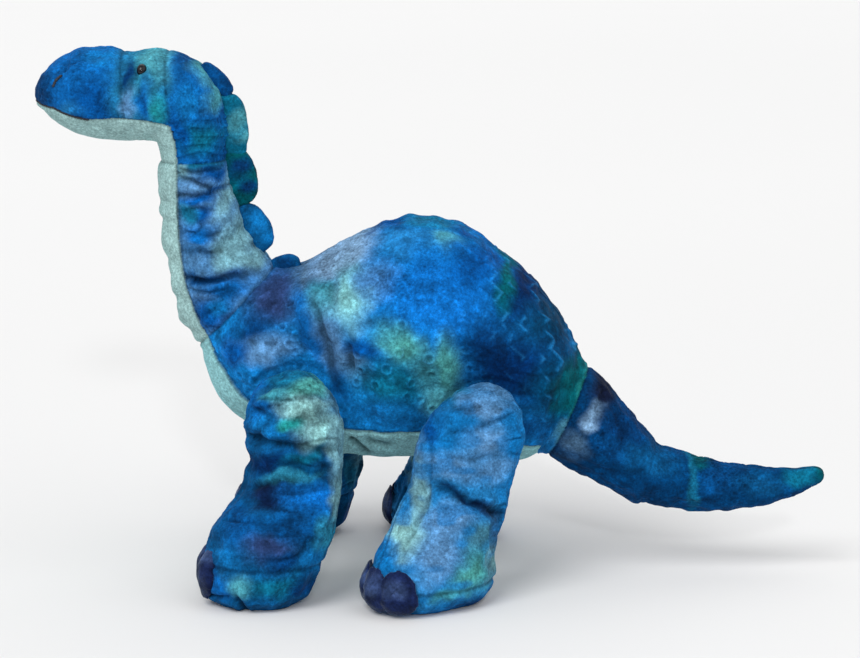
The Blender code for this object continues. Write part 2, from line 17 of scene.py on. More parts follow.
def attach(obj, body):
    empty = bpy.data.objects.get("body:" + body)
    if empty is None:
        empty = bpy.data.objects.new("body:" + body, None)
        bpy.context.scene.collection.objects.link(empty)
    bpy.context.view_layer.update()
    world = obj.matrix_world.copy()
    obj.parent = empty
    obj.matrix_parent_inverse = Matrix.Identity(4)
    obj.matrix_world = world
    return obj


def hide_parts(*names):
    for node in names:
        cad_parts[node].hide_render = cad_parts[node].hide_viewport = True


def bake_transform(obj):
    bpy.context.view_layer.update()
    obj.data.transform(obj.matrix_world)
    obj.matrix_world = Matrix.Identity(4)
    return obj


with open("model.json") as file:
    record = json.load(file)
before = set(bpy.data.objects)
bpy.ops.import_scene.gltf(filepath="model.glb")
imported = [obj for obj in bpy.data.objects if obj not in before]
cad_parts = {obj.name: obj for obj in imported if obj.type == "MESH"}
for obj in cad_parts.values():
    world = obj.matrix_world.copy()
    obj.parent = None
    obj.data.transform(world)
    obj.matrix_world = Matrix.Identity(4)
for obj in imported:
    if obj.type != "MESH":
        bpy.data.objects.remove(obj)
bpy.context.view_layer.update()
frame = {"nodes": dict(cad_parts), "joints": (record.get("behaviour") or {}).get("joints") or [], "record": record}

MM = 0.001
SIDES = ("left", "right")
LEGS = tuple(f"{side}_{end}_leg" for side in SIDES for end in ("front", "rear"))
TUBE_BODIES = ("torso", "neck", "head", "tail_base", "tail_tip")
BODY_NODES = frame["record"]["behaviour"]["bodies"]
JOINTS = {joint["name"]: joint for joint in frame["joints"]}

# Sizes in millimetres
SKIN_VOXEL = 3.6        # remesh of the big skins, halved twice by subdivision
SMALL_VOXEL = 1.5       # remesh of plates and toenails
SEAM_REACH = 9.0        # how far from a seam its distance is worked out
PUFF_CAP = 3.0          # furthest that the cloth simulation may move a point
FAR_OFF = 1e3           # stands for a distance that wasn't worked out

# Folds: slopes in degrees of the X-Z plane, lengths in millimetres
NECK_SLOPE = 135.5      # direction of the neck away from its seam with the torso
TAIL_SLOPE = -24.5      # direction of the tail away from its seam
CURL_SLOPE = -12.7      # direction of the tail's rear half
NECK_FOLD = 34.0        # length of neck, past its seam with the torso, in the lower neck piece
CURL_FOLD = 14.0        # how far before the tail_curl plane the tail's tip piece begins
FOLD_REACH = 75.0       # how far from its joint a seam across the tube reaches

# Cloth simulation, in Blender's own units
CLOTH_FRAMES = 20
CLOTH_STIFFNESS = 6.0
CLOTH_BENDING = 0.05
CLOTH_PRESSURE = 3.0
CLOTH_SLACK = 0.05      # share by which the cloth is cut larger than its pattern


# ---------------------------------------------------------------- numbers

def smooth_step(low, high, value):
    """0 below low, 1 above high, smooth between."""
    t = np.clip((value - low) / (high - low), 0.0, 1.0)
    return t * t * (3.0 - 2.0 * t)


def bell(value, width):
    """1 at zero, falling off over a width."""
    return np.exp(-(value / width) ** 2)


def hashed(cell, seed):
    """Repeatable numbers from 0 to 1, three for each whole-numbered cell."""
    x, y, z = (cell[:, axis].astype(np.int64) for axis in range(3))
    mixed = (x * 73856093) ^ (y * 19349663) ^ (z * 83492791) ^ (seed * 2654435761)
    result = []
    for turn in range(3):
        mixed = (mixed ^ (mixed >> 13)) * 1274126177 & 0xFFFFFFFF
        mixed = mixed ^ (mixed >> 16)
        result.append((mixed & 0xFFFFFF) / float(0xFFFFFF))
    return np.stack(result, axis=1)


def noise(points, size, seed=0):
    """Smooth noise from -1 to 1 over points, with features of about a size."""
    scaled = points / size
    base = np.floor(scaled).astype(np.int64)
    part = scaled - base
    ease = part * part * (3.0 - 2.0 * part)
    total = np.zeros(len(points))
    for corner in np.ndindex(2, 2, 2):
        weight = np.prod(np.where(corner, ease, 1.0 - ease), axis=1)
        total += weight * (2.0 * hashed(base + np.array(corner), seed)[:, 0] - 1.0)
    return total


def cells(points, size, seed=0):
    """Distance to the nearest and the second nearest scattered point, over the cell size."""
    scaled = points / size
    base = np.floor(scaled).astype(np.int64)
    first = np.full(len(points), 9.0)
    second = first.copy()
    for corner in np.ndindex(3, 3, 3):
        cell = base + np.array(corner) - 1
        spot = cell + 0.15 + 0.7 * hashed(cell, seed)
        away = np.linalg.norm(spot - scaled, axis=1)
        second = np.minimum(second, np.maximum(first, away))
        first = np.minimum(first, away)
    return first, second


def route_distance(points, route):
    """Distance of each 2-D point from a route, how far along it, 0 to 1, and its side, left is +1."""
    route = np.array(route, float)
    runs = np.diff(route, axis=0)
    lengths = np.linalg.norm(runs, axis=1)
    starts = np.concatenate([[0.0], np.cumsum(lengths)])
    best = np.full(len(points), FAR_OFF)
    along, side = np.zeros(len(points)), np.ones(len(points))
    for start, run, length, before in zip(route, runs, lengths, starts):
        part = np.clip(((points - start) @ run) / (length * length), 0.0, 1.0)
        gap = points - start - part[:, None] * run
        away = np.linalg.norm(gap, axis=1)
        closer = away < best
        best[closer] = away[closer]
        along[closer] = (before + part[closer] * length) / starts[-1]
        side[closer] = np.sign(run[0] * gap[closer, 1] - run[1] * gap[closer, 0])
    return best, along, side


def route_side(points, route):
    """Signed distance to a route of the X-Z plane, positive on its left-hand side."""
    away, _, side = route_distance(points[:, [0, 2]], route)
    return away * side


def joint_place(name):
    """A joint's point in the frame, in millimetres."""
    return np.array(JOINTS[name]["pos_m"]) / MM


def plane_side(points, pivot, degrees):
    """Distance of points from a plane through a pivot, and its normal, which slopes by an angle."""
    angle = math.radians(degrees)
    normal = np.array([math.cos(angle), 0.0, math.sin(angle)])
    return (points - pivot) @ normal, normal


# ---------------------------------------------------------------- meshes

def mesh_points(mesh):
    """Vertices of a mesh, in millimetres."""
    flat = np.empty(len(mesh.vertices) * 3)
    mesh.vertices.foreach_get("co", flat)
    return flat.reshape(-1, 3) / MM


def mesh_normals(mesh):
    """Vertex normals of a mesh."""
    flat = np.empty(len(mesh.vertices) * 3)
    mesh.vertex_normals.foreach_get("vector", flat)
    return flat.reshape(-1, 3)


def quads(mesh):
    """Corners of a mesh that has only four-sided faces."""
    flat = np.empty(len(mesh.loops), dtype=np.int64)
    mesh.loops.foreach_get("vertex_index", flat)
    return flat.reshape(-1, 4)


def new_mesh(name, points, faces):
    """Mesh from points in millimetres and rows of corners."""
    mesh = bpy.data.meshes.new(name)
    count, corners = faces.shape
    mesh.vertices.add(len(points))
    mesh.vertices.foreach_set("co", (points * MM).astype(np.float32).ravel())
    mesh.loops.add(count * corners)
    mesh.loops.foreach_set("vertex_index", faces.astype(np.int32).ravel())
    mesh.polygons.add(count)
    mesh.polygons.foreach_set("loop_start", np.arange(count, dtype=np.int32) * corners)
    mesh.update(calc_edges=True)
    mesh.shade_smooth()
    return mesh


def add_object(name, mesh):
    """New object in the scene."""
    piece = bpy.data.objects.new(name, mesh)
    bpy.context.scene.collection.objects.link(piece)
    return piece


def joined(names):
    """Vertices and triangles of several CAD nodes together."""
    points, faces, count = [], [], 0
    for name in names:
        mesh = frame["nodes"][name].data
        points.append(mesh_points(mesh))
        mesh.calc_loop_triangles()
        flat = np.empty(len(mesh.loop_triangles) * 3, dtype=np.int64)
        mesh.loop_triangles.foreach_get("vertices", flat)
        faces.append(flat.reshape(-1, 3) + count)
        count += len(points[-1])
    return np.concatenate(points), np.concatenate(faces)


def with_modifiers(mesh, steps):
    """Mesh after a list of (modifier type, settings)."""
    piece = add_object("work", mesh)
    for kind, settings in steps:
        modifier = piece.modifiers.new(kind.lower(), kind)
        for key, value in settings.items():
            setattr(modifier, key, value)
    graph = bpy.context.evaluated_depsgraph_get()
    result = bpy.data.meshes.new_from_object(piece.evaluated_get(graph))
    bpy.data.objects.remove(piece)
    return result


def outer_shell(mesh):
    """Points and quads of the largest connected part of a mesh."""
    points, faces = mesh_points(mesh), quads(mesh)
    label = np.arange(len(points))
    while True:
        lowest = label[faces].min(axis=1)
        before = label.copy()
        for corner in range(4):
            np.minimum.at(label, faces[:, corner], lowest)
        label = label[label]
        if np.array_equal(label, before):
            break
    kept = label == np.bincount(label).argmax()
    number = np.cumsum(kept) - 1
    return points[kept], number[faces[kept[faces[:, 0]]]]


def remeshed(names, voxel, ease, fitted=None):
    """Closed even skin over CAD nodes, with its hidden inner surfaces left out."""
    points, faces = joined(names)
    if fitted is not None:
        points = fitted(points)
    steps = [
        ("REMESH", {"mode": "VOXEL", "voxel_size": voxel * MM}),
        ("SMOOTH", {"factor": 0.5, "iterations": ease}),
    ]
    return outer_shell(with_modifiers(new_mesh("raw", points, faces), steps))


def finer(points, faces, levels):
    """Points and quads after subdivision."""
    mesh = new_mesh("coarse", points, faces)
    result = with_modifiers(mesh, [("SUBSURF", {"levels": levels})])
    return mesh_points(result), quads(result)


def panel_distances(points, names):
    """Distance of every point to every panel, as far as a seam's reach."""
    result = np.full((len(names), len(points)), FAR_OFF)
    for row, name in zip(result, names):
        corners, faces = joined([name])
        tree = BVHTree.FromPolygons(corners.tolist(), faces.tolist())
        low, high = corners.min(axis=0) - SEAM_REACH, corners.max(axis=0) + SEAM_REACH
        for index in np.flatnonzero(((points > low) & (points < high)).all(axis=1)):
            found = tree.find_nearest(points[index], 3 * SEAM_REACH)[3]
            if found is not None:
                row[index] = found
    return result


def seam_fields(points, names):
    """Panel of each point, and the distance to its nearest seam."""
    away = panel_distances(points, names)
    panel = away.argmin(axis=0)
    own = np.minimum(away.min(axis=0), 1.0)
    if "throat_panel" in names:
        return drawn_seams(points, names, away, panel, own)
    away[panel, np.arange(len(points))] = FAR_OFF
    return panel, np.maximum(np.minimum(away.min(axis=0), SEAM_REACH) - own, 0.0)


# Seams drawn as routes of the X-Z plane, where the cloth's seams run straighter than the solids' edges
MINT_SEAM = (
    (-275, 333.5), (-265.5, 330.5), (-260, 330), (-256, 329.5), (-250, 327), (-241, 324), (-231, 322),
    (-207, 322.7), (-192, 321), (-175.5, 317.5), (-172.5, 300), (-171.5, 281), (-171.8, 266),
    (-172, 251), (-170, 223), (-167, 205), (-162, 187), (-156, 174), (-143.5, 159.5),
)
FACE_SEAM = ((-180, 372), (-175.5, 318))
MUZZLE_SEAM = ((-211, 375), (-207, 318))
# Seams across the tube: joint, slope, panel beyond the seam, panel before it
SEAM_PLANES = (
    ("neck_bend", NECK_SLOPE, "neck", "torso"), ("neck_bend", NECK_SLOPE, "throat", "belly"),
    ("tail_swing", TAIL_SLOPE, "tail_base", "torso"),
)
HEAD_CLOTH = ("crown", "face", "muzzle")


def drawn_seams(points, names, away, panel, own):
    """Panels and seam distance of the tube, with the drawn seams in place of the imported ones."""
    stems = [re.sub("_left|_right|_panel", "", name) for name in names]
    kind = np.array(stems)[panel]
    left = points[:, 1] < 0.0
    seam = np.full(len(points), SEAM_REACH)

    def to(*wanted):
        return np.min([row for row, stem in zip(away, stems) if stem in wanted], axis=0) - own

    def across(side):
        return np.min([row for row, name in zip(away, names) if f"_{side}_" in name], axis=0) - own

    def draw(where, distance):
        seam[where] = np.minimum(seam[where], np.abs(distance[where]))

    head = np.isin(kind, (*HEAD_CLOTH, "jaw"))
    neck = np.isin(kind, ("neck", "throat"))
    mint_line, face_line = route_side(points, MINT_SEAM), route_side(points, FACE_SEAM)
    muzzle_line = route_side(points, MUZZLE_SEAM)
    ruled = head | neck
    mint = np.where(ruled, mint_line < 0.0, kind == "belly")
    draw(ruled, mint_line)
    draw(head & ~mint, face_line)
    draw(head & ~mint, muzzle_line)
    for first, second in (
        (("belly",), ("torso",)), ((*HEAD_CLOTH, "jaw"), ("neck", "throat")),
        (("tail_base",), ("tail_tip",)),
    ):
        draw(np.isin(kind, first), to(*second))
        draw(np.isin(kind, second), to(*first))
    draw(~mint, np.where(left, across("right"), across("left")))
    kind[head & mint], kind[neck & mint], kind[neck & ~mint] = "jaw", "throat", "neck"
    cloth_head = np.where(face_line > 0.0, "crown", np.where(muzzle_line > 0.0, "face", "muzzle"))
    kind[head & ~mint] = cloth_head[head & ~mint]
    for joint, slope, beyond, before in SEAM_PLANES:
        plane = plane_side(points, joint_place(joint), slope)[0]
        near = np.linalg.norm(points - joint_place(joint), axis=1) < FOLD_REACH
        near = near & np.isin(kind, (beyond, before))
        kind[near] = np.where(plane[near] > 0.0, beyond, before)
        draw(near, plane)
    for stem in set(stems):
        for side, on_side in zip(SIDES, (left, ~left)):
            name = f"{stem}_panel" if f"{stem}_panel" in names else f"{stem}_{side}_panel"
            panel[(kind == stem) & on_side] = names.index(name)
    return panel, np.maximum(seam, 0.0)


def puffed(points, faces, seam):
    """Points after the cloth is blown up between its seams, which stay where they are sewn."""
    piece = add_object("cloth", new_mesh("cloth", points, faces))
    sewn_edge = piece.vertex_groups.new(name="sewn")
    hold = 1.0 - smooth_step(1.5, 7.0, seam)
    for step in range(1, 11):
        share = step / 10.0
        members = np.flatnonzero(np.round(hold * 10.0) == step)
        sewn_edge.add(members.tolist(), share, "REPLACE")
    cloth = piece.modifiers.new("cloth", "CLOTH")
    settings = cloth.settings
    settings.quality = 4
    settings.mass = 0.2
    settings.tension_stiffness = settings.compression_stiffness = CLOTH_STIFFNESS
    settings.bending_stiffness = CLOTH_BENDING
    settings.use_pressure = True
    settings.uniform_pressure_force = CLOTH_PRESSURE
    settings.shrink_min = -CLOTH_SLACK
    settings.vertex_group_mass = "sewn"
    settings.effector_weights.gravity = 0.0
    cloth.collision_settings.use_collision = False
    scene = bpy.context.scene
    for moment in range(1, CLOTH_FRAMES + 1):
        scene.frame_set(moment)
    graph = bpy.context.evaluated_depsgraph_get()
    blown = bpy.data.meshes.new_from_object(piece.evaluated_get(graph))
    moved = mesh_points(blown) - points
    bpy.data.objects.remove(piece)
    scene.frame_set(1)
    length = np.linalg.norm(moved, axis=1, keepdims=True)
    return points + moved * np.tanh(length / PUFF_CAP) * PUFF_CAP / np.maximum(length, 1e-6)


class Skin:
    """One closed sewn skin: rest places, present places and where its seams are."""

    def __init__(self, names, voxel=SKIN_VOXEL, ease=3, levels=2, fitted=None, puff=True):
        self.names = names
        body_nodes = [*names, *self.fillings(names)] if puff else names
        coarse, faces = remeshed(body_nodes, voxel, ease, fitted)
        self.rest, self.faces = finer(coarse, faces, levels)
        self.at = self.rest.copy()
        if puff:
            blown = puffed(coarse, faces, seam_fields(coarse, names)[1])
            self.at = finer(blown, faces, levels)[0]
        self.panel, self.seam = seam_fields(self.rest, names)
        # Relief read by shaded(): painted shade where it is low, painted highlight where it is high.
        self.relief = np.zeros(len(self.rest))
        self.height = np.zeros(len(self.rest))

    @staticmethod
    def fillings(names):
        """Stuffing nodes inside the named panels."""
        bodies = [body for body, nodes in BODY_NODES.items() if set(nodes) & set(names)]
        return [f"{body}_stuffing" for body in bodies]

    def on(self, *words):
        """Where the panel's name holds one of the words."""
        wanted = [any(word in name for word in words) for name in self.names]
        return np.array(wanted)[self.panel]

    def normals(self):
        """Present vertex normals."""
        return mesh_normals(new_mesh("normals", self.at, self.faces))

    def push(self, height):
        """Adds to the move of every point along its normal."""
        self.height = self.height + height

    def press(self, relief, depth, shade=1.0):
        """Adds a relief to the shape, and, times a shade, to the painted shade and highlight of the colour."""
        self.relief = self.relief + shade * relief
        self.push(depth * relief)

    def settle(self):
        """Makes the moves asked for so far."""
        self.at = self.at + self.normals() * self.height[:, None]
        self.height = np.zeros(len(self.rest))


# ---------------------------------------------------------------- sculpting

def groove_seams(skin, depth, width, where=1.0):
    """Draws every seam in, with the cloth gathered beside it."""
    ripple = noise(skin.rest, 7.0, 11)
    line = bell(skin.seam, width)
    beside = bell(skin.seam - 2.4 * width, 1.5 * width)
    skin.push((-depth * line + 0.3 * beside * (0.6 + ripple)) * where)


# Each relief below is also carried into the colour: painted shade in its hollows and a painted highlight on its
# ridges.
SCALE_SIZE, SCALE_DEPTH = 4.4, 0.9      # small embossed scales
RING_SIZE, RING_DEPTH = 10.0, 1.3       # larger scales, drawn as rings
ZIGZAG_PITCH, ZIGZAG_DEPTH = 12.0, 1.0
CREASE_SHADE = 0.42     # painted shade: how much darker a crease is coloured, for each millimetre of depth
ZIGZAG_TOOTH = 15.0     # height of one tooth of a zigzag
ZIGZAG_SWING = 6.0      # how far it swings


def crease(skin, route, depth, width, where):
    """Fold in the cloth along a route of the X-Z plane, fading out at both ends."""
    flat = skin.rest[:, [0, 2]] + 1.2 * noise(skin.rest, 9.0, 21)[:, None]
    away, along, _ = route_distance(flat, route)
    fade = smooth_step(0.0, 0.25, along) * smooth_step(1.0, 0.75, along)
    tips = [np.linalg.norm(flat - np.array(route[end], float), axis=1) for end in (0, -1)]
    fade = fade * where * (0.4 + 0.6 * smooth_step(0.0, 3.0 * width, np.minimum(*tips)))
    beside = bell(away - 2.6 * width, 1.7 * width)
    # Painted shade along the floor of the crease.
    skin.relief = skin.relief - CREASE_SHADE * min(depth, 3.0) * bell(away, 0.8 * width) * fade
    skin.push((0.45 * beside - bell(away, width)) * depth * fade)


def flank(skin):
    """1 where the cloth faces sideways, 0 on the back and the belly."""
    return smooth_step(0.15, 0.5, np.abs(skin.normals()[:, 1]))


def emboss(skin, size, depth, seed, where):
    """Scales pressed into the pile: scattered dimples with narrow valleys between."""
    first, second = cells(skin.rest, size, seed)
    dimple = bell(first, 0.26) + 0.5 * bell(second - first, 0.09)
    strength = np.clip(0.6 + 0.9 * noise(skin.rest, 24.0, seed + 1), 0.1, 1.3)
    skin.press(-dimple * strength * where, depth)


def emboss_rings(skin, size, depth, seed, where):
    """Larger scales, each a raised ring round a shallow pit."""
    first = cells(skin.rest, size, seed)[0]
    ring = bell(first - 0.34, 0.10) - 0.8 * bell(first, 0.2)
    skin.press(ring * where * smooth_step(-0.6, 0.5, noise(skin.rest, 16.0, seed + 1)), depth, 0.7)


def emboss_zigzag(skin, pitch, depth, where):
    """Zigzag ridges that run round the rump."""
    tooth = np.abs(((skin.rest[:, 2] + 0.4 * skin.rest[:, 1]) / ZIGZAG_TOOTH) % 1.0 - 0.5) * 2.0
    wander = 2.5 * noise(skin.rest, 20.0, 31)
    phase = ((skin.rest[:, 0] + 0.35 * skin.rest[:, 2] + ZIGZAG_SWING * tooth + wander) / pitch) % 1.0
    ridge = bell(np.minimum(phase, 1.0 - phase), 0.13)
    skin.press(ridge * where * smooth_step(-0.25, 0.45, noise(skin.rest, 9.0, 33)), depth, 0.75)


def wrinkles(skin, pitch, depth, where, seed):
    """Fine level wrinkles, where the cloth sags on the filling."""
    level = skin.rest * np.array([0.28, 0.28, 1.0]) + 0.8 * noise(skin.rest, 18.0, seed + 1)[:, None]
    patchy = smooth_step(-0.4, 0.3, noise(skin.rest, 22.0, seed + 2))
    skin.press((0.25 - bell(noise(level, pitch, seed), 0.15)) * where * patchy, depth, 0.9)


# ---------------------------------------------------------------- dye

# Dyes as they look on screen, 0 to 255
DYES = {
    "ink": (8, 30, 66), "midnight": (4, 58, 108), "navy": (0, 42, 92), "navy_blue": (2, 56, 108),
    "ink_blue": (6, 66, 122), "royal": (2, 82, 156), "cobalt": (8, 94, 166), "azure": (14, 112, 180),
    "cobalt_dark": (4, 74, 134), "electric": (10, 106, 190), "sky": (34, 122, 184),
    "ocean": (0, 58, 106), "ocean_light": (8, 82, 134), "plum": (40, 62, 108), "black_plum": (18, 28, 56),
    "teal_navy": (0, 56, 90), "deep_green": (0, 88, 100), "sea_green": (30, 132, 134),
    "lagoon": (40, 128, 160), "lagoon_dark": (8, 102, 134), "sea": (58, 138, 156), "sea_blue": (20, 112, 150),
    "aqua": (74, 154, 170), "mint": (118, 182, 188), "mint_green": (74, 154, 152),
    "mint_pale": (134, 188, 190), "mint_grey": (104, 150, 160), "mist": (112, 162, 176),
    "lilac": (88, 138, 186), "lilac_pale": (122, 160, 196), "lilac_blue": (74, 126, 174),
    "slate": (70, 104, 136), "slate_blue": (44, 92, 138), "slate_aqua": (60, 116, 140),
    "strip_mint": (152, 188, 188), "belly_mint": (142, 198, 204), "nail": (20, 32, 68),
    "nail_upper_pale": (52, 70, 110),
}

# Dye patches of each region: centre x and z, half length, half height, tilt in degrees, dye
HEAD_PATCHES = (
    (-240, 352, 44, 34, 0, "cobalt"), (-266, 341, 9, 12, 0, "midnight"), (-244, 330, 13, 6, 20, "sky"),
    (-222, 366, 14, 5, 0, "azure"), (-226, 338, 16, 12, 0, "royal"), (-192, 346, 18, 36, 0, "lagoon"),
    (-186, 361, 10, 12, 0, "aqua"), (-201, 333, 5, 11, 0, "lilac"), (-191, 333, 5, 14, 0, "cobalt"),
    # The navy_blue patch at x -203 makes the cloth just in front of each eye darker.
    (-181, 327, 6, 11, 0, "sea_green"), (-203, 352, 4, 8, 0, "navy_blue"),
    (-156, 337, 20, 44, 0, "cobalt"), (-154, 354, 10, 6, -35, "aqua"), (-145, 340, 6, 11, -20, "aqua"),
    (-167, 364, 7, 6, 0, "ink_blue"), (-156, 309, 17, 10, 0, "lagoon_dark"), (-169, 316, 6, 13, 0, "royal"),
    (-163, 334, 8, 10, 0, "azure"),
)
NECK_PATCHES = (
    (-150, 240, 50, 62, 0, "lilac_blue"), (-155, 292, 17, 5, 0, "sea_blue"), (-168, 287, 5, 6, 0, "mist"),
    (-147, 284, 8, 7, 0, "royal"), (-162, 276, 10, 4, 15, "lilac"), (-137, 270, 6, 17, -15, "mist"),
    (-158, 268, 15, 3, 12, "royal"), (-158, 257, 8, 6, 0, "royal"), (-167, 257, 6, 7, 0, "sea_blue"),
    (-131, 241, 9, 18, -25, "mist"), (-158, 243, 13, 7, 0, "cobalt"), (-134, 230, 12, 9, 0, "mist"),
    (-160, 232, 12, 5, 0, "slate_blue"),
    (-122, 226, 9, 7, 0, "mist"), (-153, 214, 18, 3, 0, "ink_blue"), (-140, 206, 20, 9, 10, "cobalt"),
    (-160, 200, 12, 4, 0, "lilac"), (-153, 188, 16, 12, 0, "royal"), (-146, 195, 8, 6, 30, "azure"),
)
TORSO_PATCHES = (
    (-97, 222, 9, 7, 10, "sea_blue"), (-107, 200, 21, 15, 0, "plum"), (-83, 212, 12, 9, 0, "slate"),
    (-119, 179, 15, 10, 30, "navy_blue"), (-111, 167, 21, 9, 8, "lilac"), (-132, 163, 10, 10, 0, "royal"),
    (-54, 233, 22, 11, 30, "lilac_pale"), (-73, 214, 8, 8, 0, "slate_blue"),
    (-66, 223, 15, 8, 30, "lilac_pale"),
    (-70, 199, 8, 11, 0, "sea"), (-50, 203, 13, 17, 0, "mint"), (-33, 214, 12, 11, 0, "lilac_blue"),
    (-66, 175, 11, 20, 15, "lilac"), (-54, 158, 11, 15, 20, "lilac"), (-79, 179, 5, 24, 18, "cobalt"),
    (-57, 137, 7, 13, 0, "royal"), (-26, 246, 15, 7, 0, "royal"), (6, 254, 23, 8, 0, "sea_blue"),
    (-15, 235, 15, 8, 0, "sky"), (13, 237, 11, 6, 0, "aqua"), (32, 247, 11, 6, 0, "royal"),
    (1, 209, 33, 21, 0, "electric"), (20, 194, 21, 18, 0, "electric"), (32, 221, 17, 15, 0, "royal"),
    (-22, 179, 12, 11, 0, "sea"), (-13, 168, 11, 11, 0, "mint_green"), (-42, 172, 10, 8, 0, "royal"),
    (-24, 144, 26, 17, 0, "lagoon_dark"), (-40, 125, 23, 11, 0, "azure"), (-2, 153, 8, 14, 0, "sea"),
    (13, 153, 8, 22, 0, "mint_green"), (6, 133, 10, 11, 0, "aqua"), (42, 172, 18, 24, 0, "navy_blue"),
    (67, 203, 21, 18, 0, "navy"), (54, 230, 11, 6, -30, "deep_green"), (52, 212, 5, 14, 0, "deep_green"),
    (84, 179, 17, 22, 0, "teal_navy"), (58, 150, 32, 22, 0, "navy"), (86, 136, 16, 22, 0, "teal_navy"),
    (98, 140, 9, 24, -24, "deep_green"), (104, 132, 4, 20, -24, "sea_green"),
    (92, 98, 5, 6, -24, "slate_aqua"),
    (40, 112, 41, 10, 0, "navy_blue"),
    (92, 107, 9, 6, 0, "slate_aqua"),
)
TAIL_PATCHES = (
    (122, 135, 9, 18, -25, "black_plum"), (112, 114, 6, 9, -35, "lilac_pale"), (101, 95, 10, 7, -20, "slate"),
    (134, 107, 15, 9, -40, "navy_blue"), (127, 93, 12, 7, -30, "cobalt_dark"),
    (150, 83, 17, 10, -20, "ocean_light"),
    (180, 67, 4, 20, 0, "sea_blue"), (202, 66, 15, 9, 0, "cobalt_dark"), (229, 64, 17, 7, 0, "ocean_light"),
    (188, 80, 7, 4, 0, "deep_green"), (257, 70, 11, 6, 0, "lagoon_dark"), (272, 72, 6, 6, 0, "deep_green"),
)
FRONT_LEG_PATCHES = (
    (-90, 151, 22, 7, 0, "sea_blue"), (-80, 145, 17, 6, 10, "mint_green"), (-82, 131, 17, 9, 0, "mint_pale"),
    (-70, 117, 15, 9, 0, "mint_pale"), (-114, 137, 9, 17, 0, "cobalt"), (-105, 120, 12, 7, 0, "azure"),
    (-103, 141, 8, 5, 0, "sea"), (-92, 123, 8, 4, 0, "sea_green"), (-105, 97, 19, 8, 0, "navy"),
    (-81, 103, 12, 4, 18, "lagoon_dark"), (-61, 103, 6, 16, 0, "mist"), (-85, 94, 14, 6, 0, "teal_navy"),
    (-94, 87, 18, 4, 6, "lagoon"), (-105, 76, 19, 7, 0, "ink"), (-78, 73, 17, 8, 0, "electric"),
    (-59, 69, 5, 24, -8, "mint_grey"), (-125, 55, 15, 11, 0, "cobalt_dark"),
    (-92, 58, 21, 10, 0, "cobalt_dark"),
    (-67, 48, 7, 15, -10, "lagoon"), (-104, 45, 16, 7, 0, "plum"), (-134, 38, 8, 4, 0, "azure"),
    (-92, 38, 12, 5, 0, "navy_blue"), (-76, 35, 7, 8, 0, "azure"), (-141, 17, 10, 10, 0, "cobalt"),
    (-123, 21, 9, 7, 0, "aqua"), (-100, 20, 15, 7, 0, "lagoon_dark"), (-81, 17, 8, 6, 30, "navy_blue"),
)
REAR_LEG_PATCHES = (
    (50, 143, 19, 11, 0, "lilac_blue"), (18, 138, 10, 6, 10, "lagoon_dark"), (41, 131, 18, 5, -10, "lilac"),
    (28, 123, 12, 4, -10, "azure"), (9, 119, 7, 11, 0, "royal"), (19, 112, 8, 6, 0, "azure"),
    (44, 112, 15, 10, 0, "lilac"), (22, 95, 17, 8, 0, "lilac"), (62, 101, 7, 31, 0, "azure"),
    (48, 93, 10, 8, 0, "lilac_blue"), (38, 70, 23, 4, -28, "navy"), (-3, 101, 6, 21, 0, "lilac_blue"),
    (-3, 75, 6, 18, 0, "mint_grey"), (-13, 52, 11, 11, 40, "mint_pale"), (-27, 37, 8, 10, 0, "azure"),
    (17, 60, 15, 9, 20, "lilac"), (8, 41, 15, 15, 0, "lilac"), (37, 49, 12, 8, 30, "slate_aqua"),
    (50, 49, 6, 20, 20, "slate_blue"), (33, 27, 10, 12, 0, "mint_green"), (20, 14, 12, 5, 0, "sea"),
    (49, 27, 6, 13, 0, "mint_grey"), (12, 0, 23, 6, 0, "azure"), (37, 2, 17, 7, 0, "navy_blue"),
)
DYE_GAIN = 0.86         # a dye's colour as painted, over its colour on screen in this light


def linear(dye):
    """Scene-linear colour of a dye."""
    value = np.array(DYES[dye]) / 255.0
    return np.where(value <= 0.04045, value / 12.92, ((value + 0.055) / 1.055) ** 2.4)


DYE_SPREAD = 0.7        # how soft a patch's edge is, as a share of its size


def dyed(points, ground, patches, seed):
    """Colour of each point: patches laid over a ground dye, with edges that have run."""
    wander = np.stack([noise(points, 16.0, seed), noise(points, 16.0, seed + 1)], axis=1)
    fine = np.stack([noise(points, 6.0, seed + 2), noise(points, 6.0, seed + 3)], axis=1)
    flat = points[:, [0, 2]] + 4.5 * wander + 2.0 * fine
    colour = np.tile(linear(ground), (len(points), 1))
    for x, z, length, height, tilt, dye in patches:
        turn = math.radians(tilt)
        east, up = flat[:, 0] - x, flat[:, 1] - z
        along = (east * math.cos(turn) + up * math.sin(turn)) / length
        across = (up * math.cos(turn) - east * math.sin(turn)) / height
        reach = np.hypot(along, across)
        cover = 1.0 - smooth_step(1.0 - DYE_SPREAD, 1.0 + DYE_SPREAD, reach)
        colour = colour + cover[:, None] * (linear(dye) - colour)
    mottle = 1.0 + 0.32 * noise(points, 7.0, seed + 5) + 0.16 * noise(points, 3.2, seed + 6)
    pale = 0.45 * smooth_step(0.1, 0.8, noise(points, 3.0, seed + 7))
    return colour * (mottle + pale)[:, None]


# ---------------------------------------------------------------- materials

def material(name, roughness, sheen=0.0):
    """Principled material and its node tree."""
    result = bpy.data.materials.new(name)
    result.use_nodes = True
    shader = result.node_tree.nodes["Principled BSDF"]
    shader.inputs["Roughness"].default_value = roughness
    shader.inputs["Sheen Weight"].default_value = sheen
    return result, result.node_tree, shader


def node(tree, kind, **inputs):
    """Shader node with values or links on its inputs."""
    made = tree.nodes.new(kind)
    for key, value in inputs.items():
        socket = made.inputs[key.replace("_", " ")]
        if isinstance(value, bpy.types.NodeSocket):
            tree.links.new(value, socket)
        else:
            socket.default_value = value
    return made


def pile_noise(tree, place, scale, detail=2.0):
    """Noise over the cloth's rest place; scale is features per millimetre."""
    grain = node(tree, "ShaderNodeTexNoise", Vector=place, Scale=scale, Detail=detail, Roughness=0.6)
    return grain.outputs["Fac"]


